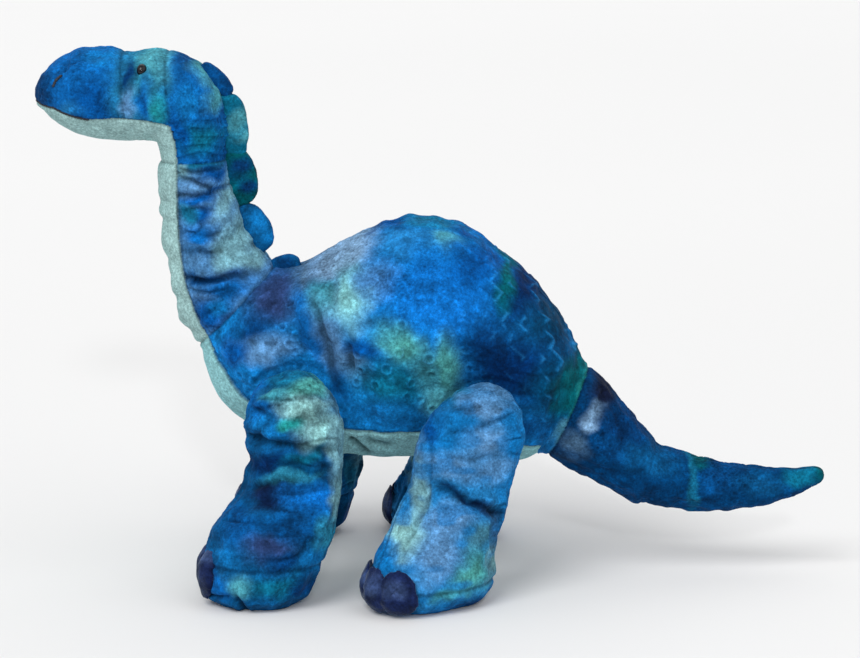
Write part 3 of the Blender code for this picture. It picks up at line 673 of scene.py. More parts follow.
def ranged(tree, value, low, high):
    """Noise value mapped from its usual spread to a new range."""
    mapped = node(tree, "ShaderNodeMapRange", Value=value)
    mapped.inputs["From Min"].default_value = 0.3
    mapped.inputs["From Max"].default_value = 0.7
    mapped.inputs["To Min"].default_value = low
    mapped.inputs["To Max"].default_value = high
    return mapped.outputs["Result"]


def product(tree, kind, operation, first, second):
    """Output of a node that multiplies two values, or scales a colour by a value."""
    made = tree.nodes.new(kind)
    made.operation = operation
    tree.links.new(first, made.inputs[0])
    tree.links.new(second, made.inputs["Scale" if operation == "SCALE" else 1])
    return made.outputs[0]


def attribute(tree, name):
    """Node that reads a named attribute of the mesh."""
    made = node(tree, "ShaderNodeAttribute")
    made.attribute_name = name
    return made


def grained(name, roughness, scale, low, high):
    """Plain pale material with a fine grain in its brightness."""
    made, tree, shader = material(name, roughness)
    grain = node(tree, "ShaderNodeTexNoise", Scale=scale)
    tree.links.new(ranged(tree, grain.outputs["Fac"], low, high), shader.inputs["Base Color"])
    return made


def speckled(tree, shader, grain, first, second):
    """Base colour that goes from a first to a second with a grain."""
    mix = node(tree, "ShaderNodeMixRGB", Fac=grain.outputs["Fac"])
    mix.inputs["Color1"].default_value = first
    mix.inputs["Color2"].default_value = second
    tree.links.new(mix.outputs["Color"], shader.inputs["Base Color"])


def plush(name, pile=0.6, sheen=0.03, mottle=0.16):
    """Short-pile plush that reads its dye and its rest place from the mesh."""
    made, tree, shader = material(name, 0.9, sheen)
    shader.inputs["Sheen Roughness"].default_value = 0.35
    shader.inputs["Sheen Tint"].default_value = (0.75, 0.9, 1.0, 1.0)
    shader.inputs["Specular IOR Level"].default_value = 0.06
    where = attribute(tree, "rest_place").outputs["Vector"]
    dye = attribute(tree, "dye").outputs["Color"]
    tufts = pile_noise(tree, where, 0.6, 3.0)
    fibres = pile_noise(tree, where, 1.8, 3.0)
    blotch = ranged(tree, pile_noise(tree, where, 0.12, 3.0), 1.0 - mottle, 1.0 + mottle)
    shade = product(tree, "ShaderNodeMath", "MULTIPLY", blotch, ranged(tree, tufts, 0.66, 1.36))
    flecks = product(tree, "ShaderNodeMath", "MULTIPLY", shade, ranged(tree, fibres, 0.8, 1.24))
    colour = product(tree, "ShaderNodeVectorMath", "SCALE", dye, flecks)
    tree.links.new(colour, shader.inputs["Base Color"])
    coarse = node(tree, "ShaderNodeBump", Height=tufts, Strength=0.55, Distance=pile * MM)
    fine = node(tree, "ShaderNodeBump", Height=fibres, Strength=0.6, Distance=0.5 * pile * MM)
    tree.links.new(coarse.outputs["Normal"], fine.inputs["Normal"])
    tree.links.new(fine.outputs["Normal"], shader.inputs["Normal"])
    return made


PLUSH = {
    "dyed_plush": plush("dyed_plush"),
    "navy_plush": plush("navy_plush", pile=0.7, sheen=0.25, mottle=0.2),
}


# ---------------------------------------------------------------- pieces

def add_cloth(name, skin, chosen=slice(None), slot="dyed_plush"):
    """Piece made of a skin's chosen faces, with its dye and rest places on the mesh."""
    faces = skin.faces[chosen]
    used = np.unique(faces)
    number = np.full(len(skin.rest), -1)
    number[used] = np.arange(len(used))
    mesh = new_mesh(name, skin.at[used], number[faces])
    rest = mesh.attributes.new("rest_place", "FLOAT_VECTOR", "POINT")
    rest.data.foreach_set("vector", skin.rest[used].astype(np.float32).ravel())
    dye = mesh.attributes.new("dye", "FLOAT_COLOR", "POINT")
    colour = np.concatenate([skin.colour[used], np.ones((len(used), 1))], axis=1)
    dye.data.foreach_set("color", colour.astype(np.float32).ravel())
    mesh.materials.append(PLUSH[slot])
    mesh.normals_split_custom_set_from_vertices(skin.normals()[used].tolist())
    piece = add_object(name, mesh)
    return piece


def add_stand_in(name, skin, nodes, slot="dyed_plush"):
    """Piece made of a whole skin, which stands for CAD nodes."""
    piece = add_cloth(name, skin, slot=slot)
    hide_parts(*nodes)
    return piece


def cloth_nodes(body):
    """A body's panels, sole and stuffing, which its skin stands for."""
    endings = ("_panel", "_sole", "_stuffing")
    return [name for name in BODY_NODES[body] if name.endswith(endings)]


def sewn(body):
    """A body's cloth nodes without its stuffing."""
    return [name for name in cloth_nodes(body) if not name.endswith("_stuffing")]


MINT_WORDS = ("belly", "throat", "jaw")


def shaded(skin, colour):
    """Colour with painted shade in the valleys of the relief and along the seams, and a painted highlight on its
    ridges.
    """
    # Painted shade: darker where the relief is low and along each seam; painted highlight: lighter where it is
    # high.
    dark = np.clip(1.0 + 0.55 * skin.relief, 0.42, 1.6) * (1.0 - 0.45 * bell(skin.seam, 1.0))
    # Painted highlight: the ridges of the relief mixed towards a paler blue.
    ridge_highlight = 0.55 * smooth_step(0.2, 0.9, skin.relief)[:, None]
    lighter = np.maximum(linear("sky"), 1.2 * colour)
    return DYE_GAIN * (colour * dark[:, None] + ridge_highlight * (lighter - colour))


TORSO_FACE = 49.3       # |y| of the torso pressed flat behind a leg
HIP_FACE = 50.0         # |y| of a leg's flat inner face
HIP_REACH = 36.0        # how far from a hip the torso is pressed flat
HIP_FLARE = 0.7         # how fast the torso widens past that, per millimetre

# Creases, as routes in the X-Z plane: (route, depth, width)
NECK_CREASES = (
    (((-174, 213), (-150, 211), (-134, 214), (-114, 215)), 4.2, 2.2),
    (((-172, 205), (-150, 203), (-132, 207)), 1.6, 1.8),
    (((-176, 288), (-160, 285), (-138, 288)), 2.2, 1.6),
    (((-176, 284), (-157, 277), (-138, 269)), 3.0, 1.8),
    (((-176, 270), (-158, 269), (-143, 272)), 3.2, 1.8),
    (((-172, 258), (-158, 261), (-144, 257)), 1.6, 1.6),
    (((-168, 243), (-152, 241), (-138, 245)), 1.8, 1.6),
    (((-166, 232), (-150, 230), (-136, 233)), 1.4, 1.6),
    (((-164, 196), (-148, 198), (-130, 206)), 1.3, 2.0),
    (((-160, 184), (-148, 190), (-138, 203)), 1.0, 2.0),
)
TORSO_CREASES = (
    (((-82, 208), (-72, 188), (-67, 170), (-64, 150), (-52, 128)), 4.0, 3.2),
    (((-102, 186), (-88, 176), (-78, 160)), 1.2, 2.4),
    (((-54, 176), (-50, 164), (-52, 150)), 2.6, 2.6),
    (((-128, 168), (-112, 172), (-96, 168)), 1.2, 2.4),
    (((-30, 150), (-10, 140), (8, 142)), 0.9, 2.6),
    (((96, 156), (84, 132), (80, 112)), 1.0, 2.4),
)
TAIL_CREASES = (
    (((112, 150), (118, 130), (112, 108)), 1.2, 2.2),
    (((126, 118), (134, 104), (130, 88)), 0.9, 2.2),
    (((182, 84), (180, 62), (184, 44)), 1.1, 1.8),
)
BELLY_CREASES = (
    (((-58, 104), (-50, 98), (-38, 90)), 2.6, 2.2), (((-46, 106), (-38, 100), (-22, 97)), 1.8, 2.4),
)
FACE_CREASES = (
    (((-200, 357), (-196, 345), (-193, 332), (-191, 322)), 1.3, 1.5),
    (((-192, 352), (-189, 344), (-184, 338)), 0.9, 1.4),
    (((-206, 345), (-207, 334), (-204, 324)), 0.8, 1.6),
)
TUBE_CREASES = (
    ("neck_", NECK_CREASES), ("torso_", TORSO_CREASES), ("tail", TAIL_CREASES), ("face", FACE_CREASES),
    ("belly", BELLY_CREASES),
)
FRONT_LEG_CREASES = (
    (((-134, 115), (-108, 112), (-88, 110), (-52, 101)), 4.2, 2.8),
    (((-128, 76), (-112, 83), (-94, 88), (-80, 84)), 2.6, 2.4),
    (((-84, 104), (-70, 97), (-58, 84)), 2.0, 2.2),
    (((-120, 130), (-106, 134), (-92, 138)), 1.6, 2.0),
    (((-96, 124), (-84, 127), (-72, 124)), 1.2, 1.8),
    (((-78, 92), (-66, 88), (-58, 80)), 1.2, 2.2),
    (((-152, 8), (-138, 10), (-127, 13)), 2.2, 1.5),
    (((-128, 14), (-122, 9), (-118, -2)), 3.2, 1.8),
)
REAR_LEG_CREASES = (
    (((6, 124), (5, 100), (4, 78), (0, 66), (-8, 53), (-11, 44), (-14, 32)), 1.6, 1.3),
    (((2, 84), (18, 79), (40, 68), (62, 54)), 4.2, 2.8),
    (((10, 104), (30, 100), (52, 104)), 1.3, 2.4),
    (((14, 136), (30, 132), (44, 138)), 1.8, 2.2),
    (((34, 120), (48, 126), (62, 130)), 2.0, 2.2),
    (((12, 117), (24, 119), (36, 116)), 1.4, 2.0),
    (((36, 46), (46, 38), (52, 26)), 1.0, 2.4),
)
WAISTS = (("neck_bend", NECK_SLOPE), ("tail_swing", TAIL_SLOPE))
WAIST_BACK = 10.0       # how far before the joint's plane the solids' waist lies
WAIST_ROUNDS = 420      # rounds of averaging that close it
WAIST_RISE = 1.5        # how much fuller it is left than its neighbours
NECK_TOP_ROUNDS = 160


def evened(skin, weight, rounds):
    """Averages neighbouring points where the weight is high."""
    near = np.flatnonzero(weight > 0.02)
    number = np.full(len(skin.at), -1)
    number[near] = np.arange(len(near))
    pairs = np.concatenate([skin.faces[:, [corner, (corner + 1) % 4]] for corner in range(4)])
    pairs = pairs[number[pairs[:, 0]] >= 0]
    first, second = number[pairs[:, 0]], pairs[:, 1]
    count = np.bincount(first, minlength=len(near))[:, None]
    share = 0.5 * weight[near][:, None]
    for _ in range(rounds):
        sums = [np.bincount(first, skin.at[second, axis], len(near)) for axis in range(3)]
        skin.at[near] += share * (np.stack(sums, axis=1) / count - skin.at[near])


def fold_at_joints(skin):
    """Closes the waists that the solids leave at the seams of the neck and the tail."""
    for joint, slope in WAISTS:
        away = plane_side(skin.rest, joint_place(joint), slope)[0]
        near = np.linalg.norm(skin.rest - joint_place(joint), axis=1) < FOLD_REACH
        evened(skin, np.clip(1.3 * bell(away + WAIST_BACK, 13.0), 0.0, 1.0) * near, WAIST_ROUNDS)
        skin.push(WAIST_RISE * bell(away + WAIST_BACK, 9.0) * near)
    upper = skin.on("neck_", "throat", "crown", "jaw")
    evened(skin, bell(skin.rest[:, 2] - joint_place("head_turn")[2] + 3.0, 8.0) * upper, NECK_TOP_ROUNDS)


# Places where the filling stands fuller: region, x, z, radius, height
FULLER_PLACES = (
    ("torso_", 103, 159, 12.0, 1.0), ("belly", -151, 148, 14.0, 2.0), ("belly", -138, 128, 20.0, 3.5),
    ("tail_tip", 272, 70, 7.0, 2.0), ("throat", -186, 250, 60.0, 1.8), ("", 76, 84, 24.0, 4.5),
)


def fuller_places(skin):
    """Raises the places of the tube where the filling stands fuller."""
    for word, x, z, radius, height in FULLER_PLACES:
        away = np.linalg.norm(skin.rest[:, [0, 2]] - np.array([x, z]), axis=1)
        skin.push(height * bell(away, radius) * skin.on(word))


GATHERS = (338.0, 312.0)    # heights between which the crown's gathers set in
GATHER_X = -158.0       # where their rows bow lowest
GATHER_ROW = 6.2        # height of a row of scallops
GATHER_WIDTH = 11.0     # width of a scallop


def gathered_crown(skin):
    """Overlapping scallops where the crown is gathered into the neck."""
    low = smooth_step(*GATHERS, skin.rest[:, 2]) * skin.on("crown")
    wander = 1.4 * noise(skin.rest, 13.0, 71)
    bow = skin.rest[:, 2] + 0.010 * (skin.rest[:, 0] - GATHER_X) ** 2 + wander
    row = np.floor(bow / GATHER_ROW)
    along = (skin.rest[:, 0] + wander) / GATHER_WIDTH + 0.5 * (row % 2.0)
    arch = 1.0 - (2.0 * (along % 1.0) - 1.0) ** 2
    rise = (bow / GATHER_ROW) % 1.0
    scallop = (1.0 - rise) * smooth_step(0.0, 0.22, rise) * (0.35 + 0.65 * arch)
    skin.press(low * (scallop - 0.3), 1.7, 0.9)


THROAT_PINCHES = (292.0, 263.0, 249.0, 223.0, 196.0, 172.0)     # their heights


def scalloped_throat(skin):
    """Pinches of the throat strip, where its seams pull it in."""
    throat = skin.on("throat").astype(float)
    for height in THROAT_PINCHES:
        skin.push(-1.4 * bell(skin.rest[:, 2] - height, 4.0) * throat)
    skin.push(1.0 * throat * smooth_step(0.0, 6.0, skin.seam))


def press_hips(skin):
    """Keeps the torso clear of the flat inner faces of the legs."""
    for leg in LEGS:
        hip = joint_place(f"{leg}_swing")
        side = math.copysign(1.0, hip[1])
        reach = np.linalg.norm(skin.at[:, [0, 2]] - hip[[0, 2]], axis=1)
        limit = TORSO_FACE + HIP_FLARE * np.maximum(reach - HIP_REACH, 0.0)
        over = side * skin.at[:, 1] > limit
        skin.at[over, 1] = side * limit[over]


def make_tube():
    """The one sewn tube of head, neck, torso and tail."""
    skin = Skin([name for body in TUBE_BODIES for name in sewn(body)])
    mint = skin.on(*MINT_WORDS)
    cloth = (~mint).astype(float)
    side = flank(skin)
    fold_at_joints(skin)
    fuller_places(skin)
    skin.settle()
    groove_seams(skin, 1.2, 1.2, where=1.0 - 0.45 * skin.on(*HEAD_CLOTH))
    for word, creases in TUBE_CREASES:
        for route, depth, width in creases:
            crease(skin, route, depth, width, (side + 0.3 * mint) * skin.on(word))
    for side_name in SIDES:
        eye = np.linalg.norm(skin.rest - eye_place(side_name)[0], axis=1)
        skin.push(0.9 * bell(eye - 7.5, 2.2) - 1.2 * bell(eye, 4.5))
    gathered_crown(skin)
    scalloped_throat(skin)
    lumpy = 1.0 - 0.55 * skin.on("crown", "face", "muzzle", "tail")
    skin.push(lumpy * (0.9 * noise(skin.rest, 17.0, 81) + 0.5 * noise(skin.rest, 9.0, 82)))
    wrinkles(skin, 8.0, 1.5, cloth * skin.on("neck"), 85)
    wrinkles(skin, 12.0, 0.6, 0.5 * cloth * skin.on("torso_", "tail", "face"), 88)
    back, rump = skin.rest[:, 2], skin.rest[:, 0]
    torso = skin.on("torso_").astype(float)
    zigzag = torso * smooth_step(22.0, 60.0, rump + 0.3 * (back - 180.0))
    rings = torso * smooth_step(60.0, 20.0, rump) * smooth_step(215.0, 190.0, back)
    pebbles = cloth * (1.0 - 0.8 * zigzag) * (1.0 - 0.6 * rings)
    emboss(skin, SCALE_SIZE, SCALE_DEPTH, 41, pebbles)
    emboss_rings(skin, RING_SIZE, RING_DEPTH, 44, rings)
    emboss_zigzag(skin, ZIGZAG_PITCH, ZIGZAG_DEPTH, zigzag)
    skin.settle()
    press_hips(skin)
    colour = np.empty_like(skin.rest)
    regions = (
        (("torso",), "azure", TORSO_PATCHES), (("neck",), "lilac_blue", NECK_PATCHES),
        (HEAD_CLOTH, "cobalt", HEAD_PATCHES), (("tail",), "ocean", TAIL_PATCHES),
    )
    for words, ground, patches in regions:
        place = skin.on(*words)
        colour[place] = dyed(skin.rest[place], ground, patches, 51)
    colour[mint] = linear("strip_mint")
    colour[skin.on("belly")] = linear("belly_mint")
    skin.colour = shaded(skin, colour)
    return skin


THIGH_HEIGHT = 112.0    # height of a rear thigh's middle
THIGH_FORWARD = 9.0     # how far it stands in front of the solid's
THIGH_FULLER = 5.0      # how much further forward its front goes
STREAK_WAY = np.array([0.7, 0.7, 1.5])      # streaks of dye lie level on the rear legs
FAR_STEP = 9.0          # how far back the right front foot stands
STEP_TOP = 115.0        # height above which that leg stands as the left one does


def stepped(points, leg):
    """Points of a leg, with the right front foot a little further back than the left."""
    moved = points.copy()
    if leg == "right_front_leg":
        moved[:, 0] += FAR_STEP * np.clip(1.0 - points[:, 2] / STEP_TOP, 0.0, 1.0)
    return moved


def fuller_thigh(skin):
    """Moves a rear leg's thigh forwards, where it is fuller."""
    over = skin.rest[:, 2] - THIGH_HEIGHT
    reach = bell(over, np.where(over > 0.0, 30.0, 45.0))
    forward = np.clip(-skin.normals()[:, 0], 0.0, 1.0)
    move = -THIGH_FORWARD * reach - THIGH_FULLER * forward * bell(over + 12.0, 40.0)
    skin.at[:, 0] += move
    skin.rest[:, 0] += move


def make_leg(leg):
    """One leg's sewn skin."""
    skin = Skin(sewn(leg))
    front = "front" in leg
    if not front:
        fuller_thigh(skin)
    groove_seams(skin, 1.3, 1.5)
    side = flank(skin)
    for route, depth, width in FRONT_LEG_CREASES if front else REAR_LEG_CREASES:
        crease(skin, route, depth, width, side)
    skin.push(0.8 * noise(skin.rest, 16.0, 83) + 0.45 * noise(skin.rest, 8.0, 84))
    wrinkles(skin, 9.0, 1.6, side * smooth_step(20.0, 50.0, skin.rest[:, 2]), 86)
    emboss(skin, SCALE_SIZE, SCALE_DEPTH, 43, 1.0)
    skin.settle()
    hip = joint_place(f"{leg}_swing")
    facing = math.copysign(1.0, hip[1])
    skin.at = stepped(skin.at, leg)
    skin.at[:, 1] = facing * np.maximum(facing * skin.at[:, 1], HIP_FACE)
    skin.at[:, 2] = np.maximum(skin.at[:, 2], 0.0)
    patches = FRONT_LEG_PATCHES if front else REAR_LEG_PATCHES
    ground = "ocean_light" if front else "sky"
    colour = dyed(skin.rest, ground, patches, 57 if "left" in leg else 67)
    # Inner faces, turned towards the other legs, go dark teal navy: partly their dye, partly painted shade between
    # the legs.
    inside = smooth_step(0.25, 0.8, -facing * skin.normals()[:, 1])[:, None]
    colour = colour + 0.75 * inside * (linear("teal_navy") - colour)
    if not front:
        streak = 0.6 * smooth_step(0.0, 0.45, noise(skin.rest * STREAK_WAY, 10.0, 61))[:, None]
        colour = colour + streak * (linear("azure") - colour)
    skin.colour = shaded(skin, colour)
    return skin


def blend_over(piece):
    """Bakes a piece's transform into its mesh."""
    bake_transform(piece)


def twist_under_head(piece):
    """Bakes a piece's transform into its mesh."""
    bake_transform(piece)


def add_tube():
    """Splits the tube into pieces on shared borders; the torso and head pieces ride their bodies."""
    skin = make_tube()
    owner = np.zeros(len(skin.names), dtype=int)
    for number, name in enumerate(skin.names):
        owner[number] = [name in BODY_NODES[body] for body in TUBE_BODIES].index(True)
    body = owner[skin.panel][skin.faces].min(axis=1)
    middle = skin.rest[skin.faces].mean(axis=1)
    along_neck = plane_side(middle, joint_place("neck_bend"), NECK_SLOPE)[0]
    curl = plane_side(middle, joint_place("tail_curl"), CURL_SLOPE)[0]
    torso, neck, head = (body == number for number in range(3))
    tail = body >= 3
    high_neck = neck & (along_neck > NECK_FOLD)
    tip = tail & (curl > -CURL_FOLD)
    torso_skin = add_cloth("torso_skin", skin, torso)
    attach(torso_skin, "torso")
    head_skin = add_cloth("head_skin", skin, head)
    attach(head_skin, "head")
    neck_base = add_cloth("neck_base_skin", skin, neck & ~high_neck)
    blend_over(neck_base)
    neck_top = add_cloth("neck_top_skin", skin, high_neck)
    twist_under_head(neck_top)
    tail_base = add_cloth("tail_base_skin", skin, tail & ~tip)
    blend_over(tail_base)
    tail_tip = add_cloth("tail_tip_skin", skin, tip)
    blend_over(tail_tip)
    stands_for = (
        (torso_skin, "torso", 0.8), (head_skin, "head", 0.9), (neck_top, "neck", 0.8), (neck_base, None, 0.8),
        (tail_base, "tail_base", 0.8), (tail_tip, "tail_tip", 0.8),
    )
    for piece, name, fill in stands_for:
        if name:
            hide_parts(*cloth_nodes(name))
    return skin


def add_legs():
    """Four leg skins, each riding on its leg."""
    for leg in LEGS:
        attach(add_stand_in(f"{leg}_skin", make_leg(leg), cloth_nodes(leg)), leg)


# ---------------------------------------------------------------- plates, toenails, eyes, stitches

# Plates: name, growth along and away from the back, slide down the back, ground dye, second dye
PLATES = (
    ("head_plate_upper", 1.20, 1.10, 9.0, "cobalt_dark", "midnight"),
    ("head_plate_lower", 1.10, 0.92, 3.0, "lagoon_dark", "aqua"),
    ("neck_plate_upper", 1.12, 1.20, -8.0, "deep_green", "midnight"),
    ("neck_plate_lower", 1.20, 1.25, -6.0, "ocean_light", "azure"),
    ("shoulder_plate", 2.00, 1.55, 9.0, "ocean_light", "midnight"),
)
PLATE_ROOT = 5.0        # how far a plate's foot goes into the seam of the back


def plate_axes(points):
    """Middle of a plate's foot, the way along the back, and the way out of it."""
    centre = points.mean(axis=0)
    ways = np.linalg.svd(points[:, [0, 2]] - centre[[0, 2]], full_matrices=False)[2]
    along = np.array([ways[0][0], 0.0, ways[0][1]])
    out = np.array([along[2], 0.0, -along[0]])
    if out @ np.array([0.7, 0.0, 0.7]) < 0.0:
        out = -out
    foot = centre + out * ((points - centre) @ out).min()
    return foot * np.array([1.0, 0.0, 1.0]), along, out


def add_plates():
    """Stuffed plates standing in the seam of the back."""
    for number, (name, long, tall, slide, ground, second) in enumerate(PLATES):
        foot, along, out = plate_axes(joined([name])[0])
        along = along * (-1.0 if along[2] > 0.0 else 1.0)

        def grown(points):
            reach = (points - foot) @ out
            fatter = 1.0 + 0.25 * smooth_step(0.0, 6.0, reach)
            shape = foot + np.outer((points - foot) @ along * long, along)
            shape = shape + np.outer(reach * tall - PLATE_ROOT * smooth_step(3.0, 0.0, reach), out)
            shape[:, 1] = points[:, 1] * fatter
            return shape + slide * along

        skin = Skin([name], SMALL_VOXEL, 4, 1, grown, puff=False)
        rim = bell(skin.rest[:, 1] + 0.6 * noise(skin.rest, 6.0, 90), 1.3)
        skin.push(0.4 + 0.5 * noise(skin.rest, 7.0, 91 + number) - 0.9 * rim)
        emboss(skin, 4.2, 0.25, 95, 1.0)
        skin.settle()
        place = foot + out * 8.0 + slide * along
        x, z = place[0], place[2]
        patches = ((x, z + 5.0, 9.0, 6.0, 30, second), (x + 4.0, z - 7.0, 7.0, 4.0, 0, second))
        skin.colour = shaded(skin, dyed(skin.rest, ground, patches, 97 + number))
        carry_plate(add_stand_in(f"{name}_skin", skin, [name]), name)


def carry_plate(piece, name):
    """Makes a plate move as the cloth under it does."""
    if name == "neck_plate_lower":
        blend_over(piece)
    elif name == "neck_plate_upper":
        twist_under_head(piece)
    else:
        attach(piece, "head" if name.startswith("head") else "torso")


NAIL_GROWTH = {"front": 1.04, "rear": 1.36}     # a toenail's padded rim over its flat patch
NAIL_DROP = {"front": 5.0, "rear": 0.0}         # how much lower it hangs
NAIL_SINK = 1.7         # how far a toenail's inner face goes into the foot


def add_toenails():
    """Dark padded patches over the toes."""
    for leg in LEGS:
        foot = joined([f"{leg}_sole"])[0].mean(axis=0)
        end = "front" if "front" in leg else "rear"
        for toe in ("outer", "middle", "inner"):
            name = f"{leg}_toenail_{toe}"
            points = joined([name])[0]
            centre = points.mean(axis=0)
            out = np.linalg.svd(points - centre, full_matrices=False)[2][2]
            out = out * math.copysign(1.0, out @ (centre - foot))

            def sunk(points):
                reach = (points - centre) @ out
                depth = smooth_step(0.6, -0.6, reach)
                flat = points - centre - np.outer(reach, out)
                wide = centre + NAIL_GROWTH[end] * flat + np.outer(reach, out)
                return wide - np.outer(0.5 + NAIL_SINK * depth, out) - (0.0, 0.0, NAIL_DROP[end])

            skin = Skin([name], SMALL_VOXEL, 3, 1, sunk, puff=False)
            edge = np.linalg.norm(skin.rest - centre, axis=1)
            crown = smooth_step(1.0, 0.2, edge / edge.max())
            skin.push(0.3 + 1.3 * crown + 0.5 * noise(skin.rest, 5.0, 101))
            skin.settle()
            skin.at = stepped(skin.at, leg)
            skin.at[:, 2] = np.maximum(skin.at[:, 2], 0.0)
            # A paler patch towards the top of each toenail.
            dye = dyed(skin.rest, "nail", ((centre[0], centre[2] + 6.0, 7.0, 4.0, 0, "nail_upper_pale"),), 103)
            skin.colour = shaded(skin, dye)
            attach(add_stand_in(f"{name}_patch", skin, [name], "navy_plush"), leg)


def ring_faces(rows, around):
    """Quads between rings of points that follow one another."""
    first = np.arange(rows - 1)[:, None] * around
    here, there = first + np.arange(around), first + (np.arange(around) + 1) % around
    return np.stack([here, there, there + around, here + around], axis=-1).reshape(-1, 4)


def turned_mesh(name, profile, segments, place, way):
    """Surface turned about an axis; the profile is (radius, height) from the top down."""
    axis = Vector(way).normalized()
    side = axis.orthogonal().normalized()
    other = axis.cross(side)
    points = []
    for radius, height in profile:
        for index in range(segments):
            angle = 2.0 * math.pi * index / segments
            ring = (side * math.cos(angle) + other * math.sin(angle)) * max(radius, 0.01)
            points.append(np.array(Vector(place) + axis * height + ring))
    return new_mesh(name, np.array(points), ring_faces(len(profile), segments)[:, ::-1])


EYE_RADIUS = 4.4
EYE_HEIGHT = 3.2
EYE_OVAL = 0.8          # how much narrower than tall an eye looks
EYE_STAND = 0.9         # how far the dome's foot stands off the cloth
EYE_SHIFT = np.array([2.8, 0.0, -2.2])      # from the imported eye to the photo's
EYE_SHANK = ((EYE_RADIUS, -1.5), (1.6, -2.0), (1.6, -8.0), (0.0, -8.0))     # radius and height
DOME_STEPS = 12


def eye_place(side):
    """Centre of an eye's foot, and the way it looks."""
    points = joined([f"{side}_eye"])[0]
    centre = points.mean(axis=0)
    way = np.linalg.svd(points - centre, full_matrices=False)[2][0]
    way = way * math.copysign(1.0, way[1] * (-1.0 if side == "left" else 1.0))
    reach = (points - centre) @ way
    return centre + way * (reach.max() - EYE_HEIGHT) + EYE_SHIFT, way


def add_eyes(skin):
    """Glossy domed eyes, each in a soft rim of plush."""
    gloss, tree, shader = material("eye_gloss", 0.05)
    shader.inputs["Specular IOR Level"].default_value = 0.35
    surface = BVHTree.FromPolygons(skin.at.tolist(), skin.faces.tolist())
    speck = node(tree, "ShaderNodeTexNoise", Scale=900.0, Detail=2.0)
    speckled(tree, shader, speck, (0.002, 0.002, 0.003, 1.0), (0.008, 0.008, 0.012, 1.0))
    for side in SIDES:
        place, way = eye_place(side)
        place = np.array(surface.find_nearest(Vector(place))[0]) + EYE_STAND * way
        angles = [math.radians(90.0 * (1.0 - step / DOME_STEPS)) for step in range(DOME_STEPS + 1)]
        dome = [(EYE_RADIUS * math.cos(angle), EYE_HEIGHT * math.sin(angle)) for angle in angles]
        mesh = turned_mesh(f"{side}_eye_dome", [*dome, *EYE_SHANK], 40, place, way)
        level = np.cross(way, (0.0, 0.0, 1.0))
        level = level / np.linalg.norm(level)
        points = mesh_points(mesh)
        points = points - np.outer((points - place) @ level * (1.0 - EYE_OVAL), level)
        mesh.vertices.foreach_set("co", (points * MM).astype(np.float32).ravel())
        mesh.materials.append(gloss)
        piece = add_object(f"{side}_eye_dome", mesh)
        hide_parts(f"{side}_eye")
        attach(piece, "head")


def add_washer_looks():
    """White plastic on the hidden locking washers."""
    made = grained("washer_plastic", 0.5, 400.0, 0.76, 0.80)
    for side in SIDES:
        washer = frame["nodes"][f"{side}_eye_washer"]
        washer.data.materials.clear()
        washer.data.materials.append(made)


THREAD_RADIUS = 0.75
NOSTRIL_RADIUS = 0.9
STITCH = 2.2            # length of one stitch
MOUTH_ROUTE = (
    (-231, 322.0), (-241, 324.2), (-250, 327.2), (-256, 330.2), (-260, 330.5), (-265, 331.0), (-269.5, 332.5),
)
NOSTRIL_ROUTE = ((-255, 344.5), (-253, 349.0), (-249, 352.5))


def thread_material():
    """Black embroidery thread with a fine twist."""
    made, tree, shader = material("embroidery_thread", 0.55)
    twist = node(tree, "ShaderNodeTexNoise", Scale=2500.0, Detail=2.0)
    speckled(tree, shader, twist, (0.002, 0.003, 0.006, 1.0), (0.012, 0.014, 0.022, 1.0))
    bump = node(tree, "ShaderNodeBump", Height=twist.outputs["Fac"], Strength=0.5, Distance=0.0002)
    tree.links.new(bump.outputs["Normal"], shader.inputs["Normal"])
    return made


def eased(route, count):
    """Evenly spaced points on a smooth curve through a route."""
    route = np.array(route, float)
    ends = np.vstack([2 * route[0] - route[1], route, 2 * route[-1] - route[-2]])
    dense = []
    for index in range(1, len(ends) - 2):
        a, b, c, d = ends[index - 1:index + 3]
        for t in np.linspace(0.0, 1.0, 12, endpoint=False):
            dense.append(0.5 * (2 * b + (c - a) * t + (2 * a - 5 * b + 4 * c - d) * t ** 2
                                + (3 * b - a - 3 * c + d) * t ** 3))
    dense = np.array(dense + [route[-1]])
    length = np.concatenate([[0.0], np.cumsum(np.linalg.norm(np.diff(dense, axis=0), axis=1))])
    stops = np.linspace(0.0, length[-1], count)
    return np.stack([np.interp(stops, length, dense[:, axis]) for axis in range(dense.shape[1])], axis=1)


def stitched_cord(path, normals, radius):
    """Points and quads of a row of satin stitches: a tube that swells at each stitch."""
    points, around = [], 10
    length = np.concatenate([[0.0], np.cumsum(np.linalg.norm(np.diff(path, axis=0), axis=1))])
    for index, (place, normal) in enumerate(zip(path, normals)):
        ahead = path[min(index + 1, len(path) - 1)] - path[max(index - 1, 0)]
        side = np.cross(ahead, normal)
        side = side / np.linalg.norm(side)
        wave = abs(math.sin(math.pi * length[index] / STITCH))
        end = min(length[index], length[-1] - length[index]) / 1.2
        size = radius * (0.62 + 0.38 * wave) * min(1.0, math.sqrt(end + 0.02))
        for turn in range(around):
            angle = 2.0 * math.pi * turn / around
            points.append(place + size * (1.25 * math.cos(angle) * side + math.sin(angle) * normal))
    return np.array(points), ring_faces(len(path), around)


def embroidered(name, routes, surface, slot_material, radius=THREAD_RADIUS):
    """Rows of stitches laid on a surface; a route's points are in space."""
    points, faces, count = [], [], 0
    for route in routes:
        path, normals = [], []
        for target in route:
            place, normal = surface.find_nearest(Vector(target))[:2]
            path.append(np.array(place + 0.25 * radius * normal))
            normals.append(np.array(normal))
        row_points, row_faces = stitched_cord(np.array(path), np.array(normals), radius)
        points.append(row_points)
        faces.append(row_faces + count)
        count += len(row_points)
    mesh = new_mesh(name, np.concatenate(points), np.concatenate(faces))
    mesh.materials.append(slot_material)
    piece = add_object(name, mesh)
    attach(piece, "head")
    return piece


